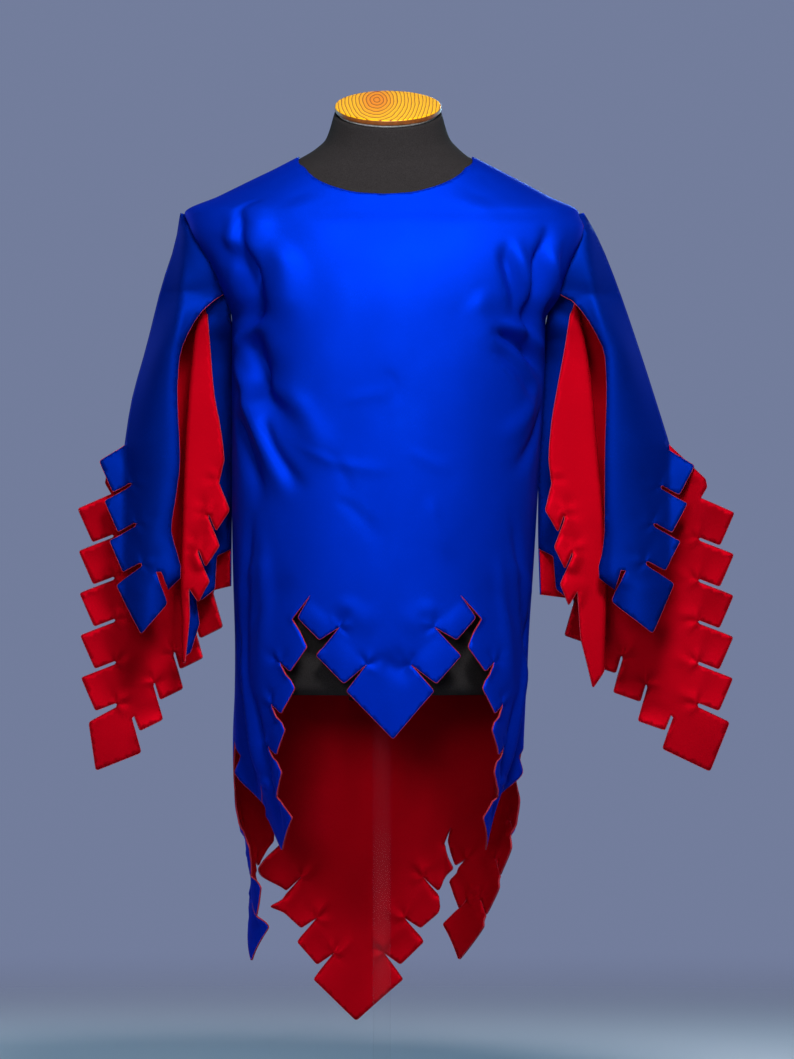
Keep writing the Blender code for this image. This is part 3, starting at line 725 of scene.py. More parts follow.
@dataclass(frozen=True)
class PineFinish:
    """Varnished pine end grain: rings round a heart that lies off the disc's middle."""

    name: str = "varnished_pine"
    heart: tuple[float, float, float] = (-0.0145, 0.020, 0.0)
    ring: float = 0.0023
    oval: tuple[float, float, float] = (1.0, 0.36, 0.0)
    lie: float = math.radians(32.0)

    def material(self, middle: Vector) -> bpy.types.Material:
        """Build the material round the cap's middle.

        Args:
            middle: Middle of the cap in the frame.

        Returns:
            The material.
        """
        board = NodeBoard(self.name)
        shader = board.shader
        place = board.node("ShaderNodeTexCoord").outputs["Object"]
        shift = board.node("ShaderNodeMapping")
        shift.inputs["Location"].default_value = tuple(-(m + h) for m, h in zip(middle, self.heart))
        board.join(place, shift.inputs["Vector"])
        rings = board.node("ShaderNodeTexWave", wave_type="RINGS", rings_direction="Z", wave_profile="SAW")
        rings.inputs["Scale"].default_value = 1.0 / (self.ring * 6.283)
        rings.inputs["Distortion"].default_value = 3.2
        rings.inputs["Detail"].default_value = 3.0
        rings.inputs["Detail Scale"].default_value = 0.8
        oval = board.scaled(shift.outputs["Vector"], self.oval, self.lie)
        board.join(oval, rings.inputs["Vector"])
        stops = ((0.0, (0.96, 0.54, 0.002, 1.0)), (0.66, (0.88, 0.40, 0.002, 1.0)),
                 (0.9, (0.16, 0.020, 0.0, 1.0)), (1.0, (0.60, 0.16, 0.002, 1.0)))
        grain = board.ramp(rings.outputs["Fac"], stops)
        away = board.node("ShaderNodeVectorMath", operation="LENGTH")
        board.join(oval, away.inputs[0])
        near = board.fade(away.outputs["Value"], (0.006, 0.75), (0.030, 0.0))
        blend = board.node("ShaderNodeMix", data_type="RGBA", blend_type="MULTIPLY")
        board.join(near, blend.inputs[0])
        board.join(grain, blend.inputs[6])
        blend.inputs[7].default_value = (0.85, 0.42, 0.25, 1.0)
        board.join(blend.outputs[2], shader.inputs["Base Color"])
        shader.inputs["Roughness"].default_value = 0.42
        shader.inputs["Specular IOR Level"].default_value = 0.25
        shader.inputs["Coat Weight"].default_value = 0.12
        shader.inputs["Coat Roughness"].default_value = 0.15
        return board.material


BLUE = TwillFinish("blue_twill", (0.0, 0.021, 0.43), (0.0, 0.031, 0.55), 0.58, (0.0, 0.25, 1.0))
# The sleeves' twill is the body's blue made darker: painted shade on the sleeves.
SHADED_SLEEVE_BLUE = TwillFinish("blue_twill_sleeve", (0.0, 0.015, 0.25), (0.0, 0.024, 0.33), 0.62, (0.0, 0.3, 1.0))
RED = TwillFinish("red_lining", (0.46, 0.0004, 0.008), (0.60, 0.001, 0.014), 0.6, (1.0, 0.1, 0.2))
RED_EDGE = PlainFinish("red_edge", (0.34, 0.004, 0.02), 0.7)
JERSEY = PlainFinish("black_jersey", (0.0165, 0.0145, 0.015), 0.95, grain=800.0, bump=0.3, specular=0.12)
# Dark brown for the cap's side, rounded edge and underside, much darker than its top.
DARK_CAP_SIDE = PlainFinish("varnished_side", (0.20, 0.055, 0.006), 0.45, grain=200.0, bump=0.05)
WHITE_RIM = PlainFinish("white_rim", (0.78, 0.78, 0.76), 0.45, grain=300.0, bump=0.05)
BLACK_STEEL = PlainFinish("black_steel", (0.02, 0.02, 0.022), 0.38, metallic=0.6, grain=1400.0, bump=0.08)


@dataclass
class Wardrobe:
    """Every material, made once."""

    blue: bpy.types.Material
    red: bpy.types.Material
    red_edge: bpy.types.Material

    @classmethod
    def open(cls) -> tuple["Wardrobe", "Wardrobe"]:
        """Make the cloth materials of the body and of the sleeves, whose blue is made darker as painted shade."""
        red, edge = RED.material(), RED_EDGE.material()
        return cls(BLUE.material(), red, edge), cls(SHADED_SLEEVE_BLUE.material(), red, edge)


# Cloth pieces

@dataclass
class ClothMaker:
    """Turns a flat cut and its worn places into a lined cloth piece with its edges."""

    wardrobe: Wardrobe
    outer: float = 1.3
    inner: float = 0.5
    edge_radius: float = 0.32
    seam_radius: float = 1.0

    def sheet(self, name: str, cut: FlatCut, places: Point, flip: bool, nodes: Sequence[str]) -> bpy.types.Object:
        """Args:
            name: Name of the piece.
            cut: The meshed flat cut.
            places: Worn place of each point, in the frame's own millimetres.
            flip: Turn the faces so that they point to the outer cloth.
            nodes: CAD nodes that the piece stands for.

        Returns:
            The cloth piece.
        """
        mesh = bpy.data.meshes.new(name)
        faces = [tuple(reversed(f)) for f in cut.faces] if flip else cut.faces
        mesh.from_pydata([tuple(p) for p in places * MM], [], faces)
        shape = bmesh.new()
        shape.from_mesh(mesh)
        shape.normal_update()
        pattern = shape.loops.layers.uv.new("pattern")
        shape.verts.ensure_lookup_table()
        normals = np.array([tuple(v.normal) for v in shape.verts])
        for face in shape.faces:
            face.smooth = True
            for loop in face.loops:
                loop[pattern].uv = tuple(cut.points[loop.vert.index] * MM)
        for vertex in shape.verts:
            vertex.co += vertex.normal * self.outer * MM
        shape.to_mesh(mesh)
        shape.free()
        piece = bpy.data.objects.new(name, mesh)
        bpy.context.scene.collection.objects.link(piece)
        for material in (self.wardrobe.blue, self.wardrobe.red, self.wardrobe.red_edge):
            mesh.materials.append(material)
        wall = piece.modifiers.new("lining", "SOLIDIFY")
        wall.thickness = (self.outer + self.inner) * MM
        wall.offset = -1.0
        wall.use_even_offset = False
        wall.material_offset = 1
        wall.material_offset_rim = 2
        trims = self.edges(name, cut, places, normals)
        for item in [piece] + trims:
            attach(item, BODY_NAME)
        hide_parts(*nodes)
        return piece

    @staticmethod
    def worn_area(places: Point, faces: Sequence[tuple[int, ...]]) -> float:
        """Area of the worn surface in square metres.

        Args:
            places: Worn place of each point, in millimetres.
            faces: The faces between them.

        Returns:
            The area.
        """
        corners = places[np.array(faces)] * MM
        cross = np.cross(corners[:, 1] - corners[:, 0], corners[:, 2] - corners[:, 0])
        return float(np.linalg.norm(cross, axis=1).sum() / 2)

    def edges(self, name: str, cut: FlatCut, places: Point, normals: Point) -> list[bpy.types.Object]:
        """Fine rolled edges of the free outline and the closed seams of the rest.

        Args:
            name: Name of the cloth piece.
            cut: The meshed flat cut.
            places: Worn place of each point.
            normals: Outward direction of each point.

        Returns:
            The trims: the lining's line outside and inside, and the seam line.
        """
        rim = places[:cut.rim]
        out = normals[:cut.rim]
        free = [kind is Edge.FREE for kind in cut.kinds]
        lift = self.edge_radius * 0.55
        trims = [
            self.trim(f"{name}_edge_outer", rim + out * (self.outer - lift), free, self.edge_radius,
                      self.wardrobe.red_edge, "red_lining"),
            self.trim(f"{name}_edge_inner", rim - out * (self.inner - lift * 0.4), free, self.edge_radius,
                      self.wardrobe.red_edge, "red_lining"),
            self.trim(f"{name}_seam", rim + out * (self.outer - self.seam_radius), [not f for f in free],
                      self.seam_radius, self.wardrobe.blue, "blue_cloth"),
        ]
        return [trim for trim in trims if trim is not None]

    @staticmethod
    def trim(name: str, path: Point, chosen: Sequence[bool], radius: float, material: bpy.types.Material,
             slot: str) -> bpy.types.Object | None:
        """Round trim along the chosen stretches of a closed path.

        Args:
            name: Name of the trim.
            path: Closed path in millimetres.
            chosen: Which steps of the path carry the trim.
            radius: Radius of the trim.
            material: Its material.
            slot: Not used.

        Returns:
            The trim, or None where no step is chosen.
        """
        if not any(chosen):
            return None
        count = len(path)
        curve = bpy.data.curves.new(name, "CURVE")
        curve.dimensions = "3D"
        curve.bevel_depth = radius * MM
        curve.bevel_resolution = 1
        curve.use_fill_caps = True
        start = next((i for i in range(count) if chosen[i] and not chosen[i - 1]), 0)
        runs: list[list[int]] = []
        for offset in range(count):
            index = (start + offset) % count
            if not chosen[index]:
                continue
            if runs and runs[-1][-1] == index:
                runs[-1].append((index + 1) % count)
            else:
                runs.append([index, (index + 1) % count])
        for run in runs:
            spline = curve.splines.new("POLY")
            closed = run[0] == run[-1]
            steps = run[:-1] if closed else run
            spline.points.add(len(steps) - 1)
            spline.use_cyclic_u = closed
            for point, index in zip(spline.points, steps):
                point.co = (*(path[index] * MM), 1.0)
        carrier = bpy.data.objects.new(name + "_line", curve)
        bpy.context.scene.collection.objects.link(carrier)
        graph = bpy.context.evaluated_depsgraph_get()
        mesh = bpy.data.meshes.new_from_object(carrier.evaluated_get(graph))
        bpy.data.objects.remove(carrier, do_unlink=True)
        mesh.name = name
        mesh.materials.clear()
        mesh.materials.append(material)
        for polygon in mesh.polygons:
            polygon.use_smooth = True
        pattern = mesh.uv_layers.new(name="pattern") if "pattern" not in mesh.uv_layers else None
        if pattern is not None:
            flat = np.zeros(len(mesh.loops) * 2)
            pattern.data.foreach_set("uv", flat)
        trim = bpy.data.objects.new(name, mesh)
        bpy.context.scene.collection.objects.link(trim)
        return trim


@dataclass(frozen=True)
class Flap:
    """A hem flap that swings or turns below its notch."""

    s: float
    near: tuple[float, float]
    far: tuple[float, float]
    span: tuple[float, float]
    shift: tuple[float, float]
    turn: float

    def amount(self, s: Point, z: Point) -> Point:
        """How much of the flap's move each point takes.

        Args:
            s: Girth from centre front, either way.
            z: Worn height.

        Returns:
            The share at each point, nought off the flap.
        """
        top, low = self.span
        fall = np.clip((top - z) / (top - low), 0.0, 1.15)
        around = np.abs(s)
        weight = ease(around, *self.near) * (1.0 - ease(around, *self.far))
        return np.where((s * self.s > 0) & (z < top), fall ** 1.4 * weight, 0.0)


@dataclass
class BodyCloth:
    """Front and back panels: cut, worn sections, folds and flaps."""

    half_girth: float = 268.0
    seam_gap: float = 0.3
    power: float = 2.5
    shoulder_z: float = 1132.0
    neck_z: float = 1203.0
    stretch: float = 2.2
    pitch: float = 4.8
    sections: dict[str, list[float]] = field(default_factory=lambda: {
        "z": [60, 180, 350, 425, 578, 692, 794, 921, 997, 1029, 1068, 1115, 1132, 1153, 1175, 1188, 1203],
        "centre": [-10, -10, -11, -12, -8.5, -6, -3.5, 0, 1, 4, 3, -2, -8, -6, -4, -3, -3],
        "half": [170, 174, 178, 181, 184.5, 190, 193.5, 197, 198, 211, 226, 248, 249, 208, 165, 139, 110],
        "front": [132, 132, 133, 134, 136, 138, 140, 140.5, 137.2, 134.3, 127.6, 110.5, 101.5,
                  91, 80, 74, 68],
        "back": [134, 134, 135, 136, 138, 138, 138, 138, 137, 134, 129, 115, 108, 99, 88, 80, 72],
        "open": [0, 0, 0, 0, 0, 0, 0, 0, 0, 28, 42, 24, 0, 0, 0, 0, 0],
    })
    neckline: dict[str, list[float]] = field(default_factory=lambda: {
        "across": [0, 32, 62, 90, 102, 108, 109.5],
        "front": [1153, 1155, 1162, 1175, 1188, 1196, 1200],
        "back": [1184, 1184, 1187, 1192, 1197, 1200.5, 1201.8],
    })
    hem: dict[str, list[tuple[float, float]]] = field(default_factory=lambda: {
        "centre_front": [(96, 648), (114, 620), (88, 592), (61, 608), (93, 572), (59, 537), (29, 561),
                         (57, 528)],
        "side_front_inner": [(96, 648), (121, 618), (102.5, 583), (126, 552), (142, 564), (122, 531),
                             (141, 499), (158, 511), (139, 478), (157, 447), (172, 457), (153, 425),
                             (171, 394), (185, 404), (149, 368)],
        "side_front_outer": [(264, 458), (250, 444), (259, 424), (223, 383), (206, 408), (231, 368)],
        "side_back_outer": [(272, 458), (300, 412), (279.5, 387.5), (297, 341), (313, 361), (285, 327),
                            (310, 290), (327, 310), (298, 276), (323, 239), (340, 259), (312, 225)],
        "side_back_inner": [(413, 350), (417, 331), (397, 300), (381, 309), (402, 281), (378, 245),
                            (365, 258.5), (398, 225)],
        "centre_back": [(413, 350), (424, 328), (402, 296), (434, 267), (452, 285), (422, 247), (455, 219),
                        (476, 232.5), (450, 201.5), (479, 172), (501.5, 187.5), (473, 153.5)],
    })
    tips: dict[str, tuple[float, float]] = field(default_factory=lambda: {
        "centre_front": (0, 467),
        "side_front": (190, 325),
        "side_back": (355, 180),
        "centre_back": (536, 100),
    })
    twist_front: tuple[float, float, float, float] = (18.0, 720.0, 467.0, 1.2)
    twist_back: tuple[float, float, float, float] = (-31.0, 600.0, 100.0, 0.56)
    flaps: list[Flap] = field(default_factory=lambda: [
        Flap(355, (268, 268.2), (408, 434), (400, 180), (-36, 6), -10),
        Flap(-355, (268, 268.2), (408, 434), (400, 250), (6, -22), 40),
        Flap(196, (100, 145), (225, 262), (560, 330), (-43, 8), 20),
        Flap(-196, (100, 145), (225, 262), (560, 330), (25, 8), -20),
    ])
    creases: list[Crease] = field(default_factory=lambda: [
        Crease((-138, 1139), (-188, 1020), 9, -8.7, 4, 0.4),
        Crease((-144, 1130), (-213, 1022), 10, 6.2, 4),
        Crease((-118, 1130), (-154, 1071), 16, 5),
        Crease((-164, 1084), (-204, 968), 26, -21, 8, 0.5),
        Crease((-112, 1092), (-138, 984), 20, 7.5, 8),
        Crease((-198, 976), (-176, 898), 30, -20, 6),
        Crease((-226, 934), (-126, 776), 11, 8.8, 10, -0.5),
        Crease((-204, 962), (-112, 858), 16, -13, -8, 0.5),
        Crease((-216, 872), (-160, 762), 12, -10.2, 5),
        Crease((-236, 962), (-146, 992), 9, 6.2, 6),
        Crease((-158, 866), (-104, 782), 10, -8.7, -5, 0.5),
        Crease((-122, 906), (-69, 806), 16, 3.8, 6),
        Crease((162, 1104), (206, 950), 12, -14, -8, -0.5),
        Crease((184, 1096), (222, 966), 10, 4, -5),
        Crease((160, 1095), (262, 999), 10, 6.2, -5),
        Crease((118, 1084), (172, 994), 10, -8.7, -4, -0.5),
        Crease((130, 1089), (204, 987), 9, 6.2, -4),
        Crease((134, 980), (234, 926), 12, -15, 7, 0.5),
        Crease((144, 990), (240, 950), 8, 6.2, 5),
        Crease((134, 958), (222, 882), 12, -7.2, 6),
        Crease((100, 1026), (140, 955), 16, 3.8, -5),
        Crease((216, 908), (144, 842), 13, 4.4, 5),
        Crease((236, 884), (164, 800), 11, -5.8, 6),
        Crease((-108, 837), (8, 806), 7, 1.4, -9),
        Crease((-70, 829), (-41, 768), 7, -1.3, 5),
        Crease((0, 931), (10, 885), 8, -1.1, 3),
        Crease((-52, 892), (14, 902), 9, 0.7, 3),
        Crease((30, 829), (82, 806), 9, 0.9, -3),
        Crease((-56, 768), (-5, 711), 9, -1.4, 6),
        Crease((56, 768), (86, 692), 10, 1.6, -5),
        Crease((-89, 1149), (-50, 1086), 24, 2.0),
        Crease((102, 1149), (52, 1086), 24, 2.0),
        Crease((-178, 743), (-216, 514), 12, -5, -4, 0.4),
        Crease((-158, 718), (-176, 527), 12, 4, 3),
        Crease((170, 743), (236, 514), 12, -4.5, 5, -0.4),
        Crease((150, 692), (174, 514), 11, 3.5, 3),
        Crease((-236, 620), (-222, 430), 9, -9, 5, 0.4),
        Crease((-214, 590), (-198, 380), 9, 8, -5),
        Crease((-194, 520), (-182, 345), 8, -7, 4, 0.4),
        Crease((232, 620), (228, 440), 9, -9, -5, -0.4),
        Crease((212, 580), (206, 390), 9, 8, 5),
        Crease((194, 510), (186, 345), 8, -7, -4),
        Crease((-8, 566), (34, 552), 13, -4, -3),
        Crease((-60, 640), (-18, 602), 14, 2.5, 4),
        Crease((62, 636), (24, 600), 14, 2.0, -4),
        Crease((-190, 610), (-120, 668), 13, -3.5, 5),
        Crease((196, 606), (130, 664), 13, -3, -5),
        Crease((-222, 641), (-160, 694), 10, 3, 4),
        Crease((238, 646), (164, 688), 10, 3, -4),
    ])
    back_creases: list[Crease] = field(default_factory=lambda: [
        Crease((388, 1080), (424, 520), 26, 8.0, 12, 0.4),
        Crease((450, 1100), (490, 420), 24, -8.0, -10),
        Crease((520, 1060), (524, 380), 26, 7.0, 8, -0.4),
        Crease((580, 1110), (566, 360), 22, -7.5, 12),
        Crease((650, 1070), (640, 500), 26, 7.5, -14, 0.4),
        Crease((310, 1010), (392, 900), 15, -9.0, 8, 0.4),
        Crease((318, 960), (410, 800), 14, 6.0, -8),
        Crease((762, 1010), (684, 892), 15, -8.0, -8, -0.4),
        Crease((752, 950), (668, 790), 14, 6.0, 7),
        Crease((420, 838), (540, 812), 12, 2.2, -8),
        Crease((540, 760), (640, 782), 12, -2.2, 7),
    ])

    def __post_init__(self) -> None:
        """Measure one quarter of the body section once."""
        angle = np.linspace(0.0, math.pi / 2, 600)
        self.across = np.sin(angle) ** (2 / self.power)
        self.deep = np.cos(angle) ** (2 / self.power)
        self.across[0] = 0.0
        self.deep[-1] = 0.0
        step = np.hypot(np.diff(self.across) * 190.0, np.diff(self.deep) * 138.0)
        girth = np.concatenate([[0.0], np.cumsum(step)])
        self.girth = girth / girth[-1]

    def read(self, name: str, z: Point) -> Point:
        """Read a column of the section table."""
        return smooth_read(self.sections["z"], self.sections[name], z)

    def pattern_height(self, z: float) -> float:
        """Height on the pattern for a worn height."""
        return z if z <= self.shoulder_z else self.shoulder_z + (z - self.shoulder_z) * self.stretch

    def worn_height(self, q: Point) -> Point:
        """Worn height for heights on the pattern."""
        return np.where(q <= self.shoulder_z, q, self.shoulder_z + (q - self.shoulder_z) / self.stretch)

    def girth_at(self, across: float, z: float) -> float:
        """Girth from the centre line for a distance across."""
        ratio = min(across / float(self.read("half", z)), 1.0)
        return self.half_girth * float(np.interp(ratio, self.across, self.girth))

    def armhole(self, z: float, side: Side, clearance: float) -> float:
        """Distance out of the armhole edge, clear of the body cloth."""
        return side.sign * float(self.read("centre", z)) + float(self.read("half", z)) + 1.2 + clearance

    def place(self, s: Point, z: Point, out: Point) -> tuple[Point, Point]:
        """Place points round the body section.

        Args:
            s: Girth from centre front, either way.
            z: Worn height.
            out: How far the cloth stands off its section.

        Returns:
            The places across and front to back.
        """
        side = np.where(s >= 0, 1.0, -1.0)
        around = np.abs(s)
        back = around > self.half_girth
        quarter = np.where(back, 2 * self.half_girth - around, around)
        cross = np.where(quarter >= 0, 1.0, -1.0)
        fraction = np.clip(np.abs(quarter) / self.half_girth, 0.0, 1.0)
        across = np.interp(fraction, self.girth, self.across) * cross
        deep = np.interp(fraction, self.girth, self.deep)
        opening = self.read("open", z)
        depth = np.where(back, self.read("back", z), self.read("front", z))
        y = (depth + out) * deep + opening * (1.0 - deep) ** 2
        x = side * across * (self.read("half", z) + out) + self.read("centre", z)
        twist = np.where(back, self.twisted(self.twist_back, z), self.twisted(self.twist_front, z))
        return x + twist * deep, np.where(back, y, -y)

    @staticmethod
    def twisted(row: tuple[float, float, float, float], z: Point) -> Point:
        """Sideways shift of the hem at each height."""
        shift, top, low, curve = row
        return shift * np.clip((top - z) / (top - low), 0.0, 1.25) ** curve

    def drape(self, points: Point, outline: Outline, creases: Sequence[Crease], curl: float,
              seed: float) -> Point:
        """Worn place of every point of a panel.

        Args:
            points: Places on the flat pattern.
            outline: The panel's outline.
            creases: The panel's creases.
            curl: How far its tabs stand off.
            seed: Shifts its ripple.

        Returns:
            Places in millimetres in the part's own frame.
        """
        flat_s, q = points[:, 0], points[:, 1]
        z = self.worn_height(q)
        full = 2 * self.half_girth
        s = np.where(flat_s > full, flat_s - 2 * full, flat_s)
        from_seam = np.abs(np.abs(s) - self.half_girth)
        low = ease(z, 700.0, 420.0)
        out = relief(creases, flat_s, z) + ripple(flat_s, z, seed, 62.0, 1.3)
        out = out + low * ripple(flat_s, z, seed + 2, 34.0, 2.4)
        tabs = tab_relief(outline, flat_s, q, curl)
        out = out * ease(from_seam, 2.0, 34.0) + tabs * ease(from_seam, 0.0, 12.0)
        x, y = self.place(s, z, out)
        for flap in self.flaps:
            amount = flap.amount(s, z)
            turn = np.radians(flap.turn) * amount
            cx, cy = self.place(np.full(len(s), float(flap.s)), z, np.zeros(len(s)))
            dx, dy = x - cx, y - cy
            x = cx + dx * np.cos(turn) - dy * np.sin(turn) + flap.shift[0] * amount
            y = cy + dx * np.sin(turn) + dy * np.cos(turn) + flap.shift[1] * amount
        return np.column_stack([x, y, z])

    def hem_half(self, name: str) -> Outline:
        """One side of a hem point, from its notch to the corner beside the tip.

        Args:
            name: Row of the hem table.

        Returns:
            The run of outline, with its tabs and slots.
        """
        line = [np.array(point, float) for point in self.hem[name]]
        run = Outline()
        lead = (len(line) - 2) % 3
        for index, point in enumerate(line):
            place = (index - 1 - lead) % 3
            corner = index > lead and place != 2 or index == len(line) - 1
            run.add(point, rounding=TAB_ROUNDING if corner else 1.0 if index > lead else 0.0)
        slots = [line[lead]] + line[lead + 3::3]
        for index in range(len(slots) - 1):
            root = (slots[index] + slots[index + 1]) / 2
            outer, low = line[lead + 1 + 3 * index], line[lead + 2 + 3 * index]
            reach = (outer + low) / 2 - root
            width = float(np.hypot(*(slots[index + 1] - slots[index])))
            run.tabs.append(Tab(tuple(root), tuple(unit(reach)), width, float(np.hypot(*reach))))
            following = line[lead + 4 + 3 * index]
            run.slots.append((slots[index + 1], unit((low + following) / 2 - slots[index + 1])))
        return run

    def rise(self) -> list[float]:
        """Pattern heights up a side and over the shoulder.

        Returns:
            The heights, rising.
        """
        heights = [560.0, 680.0, 800.0, 921.0, 997.0, 1013.0, 1029.0, 1048.0, 1068.0, 1092.0, 1115.0, 1132.0]
        top = self.pattern_height(self.neck_z)
        return heights + [self.shoulder_z + (top - self.shoulder_z) * k / 4 for k in (1, 2, 3, 4)]

    def neck(self, column: str, centre: float, way: float) -> list[Point]:
        """Neckline points from the centre line out to the shoulder.

        Args:
            column: Column of the neckline table.
            centre: Girth of the centre line.
            way: Which way the points run, 1 or -1.

        Returns:
            The points, on the pattern.
        """
        fine = np.linspace(0.0, self.neckline["across"][-1], 14)
        heights = smooth_read(self.neckline["across"], self.neckline[column], fine)
        return [np.array((centre + way * self.girth_at(float(a), float(z)), self.pattern_height(float(z))))
                for a, z in zip(fine, heights)]

    def front_outline(self) -> Outline:
        """Outline of the front panel.

        Returns:
            The closed outline.
        """
        edge = self.half_girth - self.seam_gap / 2
        inner = self.hem_half("centre_front")
        outer = self.hem_half("side_front_outer")
        half = Outline()
        notch_first = inner.reversed(lambda p: p)
        notch_first.drop_last()
        half.extend(notch_first)
        half.extend(self.hem_half("side_front_inner"))
        half.add(self.tips["side_front"], rounding=TIP_ROUNDING)
        back_up = outer.reversed(lambda p: p)
        back_up.drop_last()
        half.extend(back_up)
        half.add((edge, 462.0), Edge.SEAM)
        for z in self.rise():
            half.add((edge, z), Edge.SEAM)
        neck = self.neck("front", 0.0, 1.0)
        half.edges[-1] = Edge.SEAM
        for point in neck[::-1][:-1]:
            half.add(point, Edge.SEAM)
        whole = Outline()
        whole.add(self.tips["centre_front"], rounding=TIP_ROUNDING)
        whole.extend(half)
        whole.add(neck[0], Edge.SEAM)
        whole.extend(half.reversed(lambda p: np.array((-p[0], p[1]))))
        return whole

    def back_outline(self) -> Outline:
        """Outline of the back panel.

        Returns:
            The closed outline.
        """
        edge = self.half_girth + self.seam_gap / 2
        full = 2 * self.half_girth
        half = Outline()
        half.add((edge, 462.0))
        half.extend(self.hem_half("side_back_outer"))
        half.add(self.tips["side_back"], rounding=TIP_ROUNDING)
        inner = self.hem_half("side_back_inner").reversed(lambda p: p)
        inner.drop_last()
        half.extend(inner)
        half.extend(self.hem_half("centre_back"))
        whole = Outline()
        whole.extend(half)
        whole.add(self.tips["centre_back"], rounding=TIP_ROUNDING)
        other = half.reversed(lambda p: np.array((2 * full - p[0], p[1])))
        whole.extend(other)
        whole.edges[-1] = Edge.SEAM
        far = 2 * full - edge
        for z in self.rise():
            whole.add((far, z), Edge.SEAM)
        neck = self.neck("back", full, -1.0)
        for point in neck[::-1]:
            whole.add((2 * full - point[0], point[1]), Edge.SEAM)
        for point in neck[1:]:
            whole.add(point, Edge.SEAM)
        for z in self.rise()[::-1]:
            whole.add((edge, z), Edge.SEAM)
        return whole

    def build(self, maker: ClothMaker) -> None:
        """Make the front and back panels.

        Args:
            maker: Makes the cloth pieces.
        """
        outline = self.front_outline()
        front = FlatCut.cut(outline, self.pitch, slot_rings(outline))
        worn = self.drape(front.points, front.outline, self.creases, 5.0, 1.0)
        maker.sheet("front_panel_cloth", front, to_frame(worn), False, ["front_panel"])
        outline = self.back_outline()
        back = FlatCut.cut(outline, self.pitch, slot_rings(outline))
        worn = self.drape(back.points, back.outline, self.back_creases, 5.0, 4.0)
        maker.sheet("back_panel_cloth", back, to_frame(worn), False, ["back_panel", "back_lining"])


def to_frame(places: Point) -> Point:
    """Shift places from the body's own middle to the frame's origin, still in millimetres."""
    return places + np.array((MIDDLE_X / MM, 0.0, 0.0))


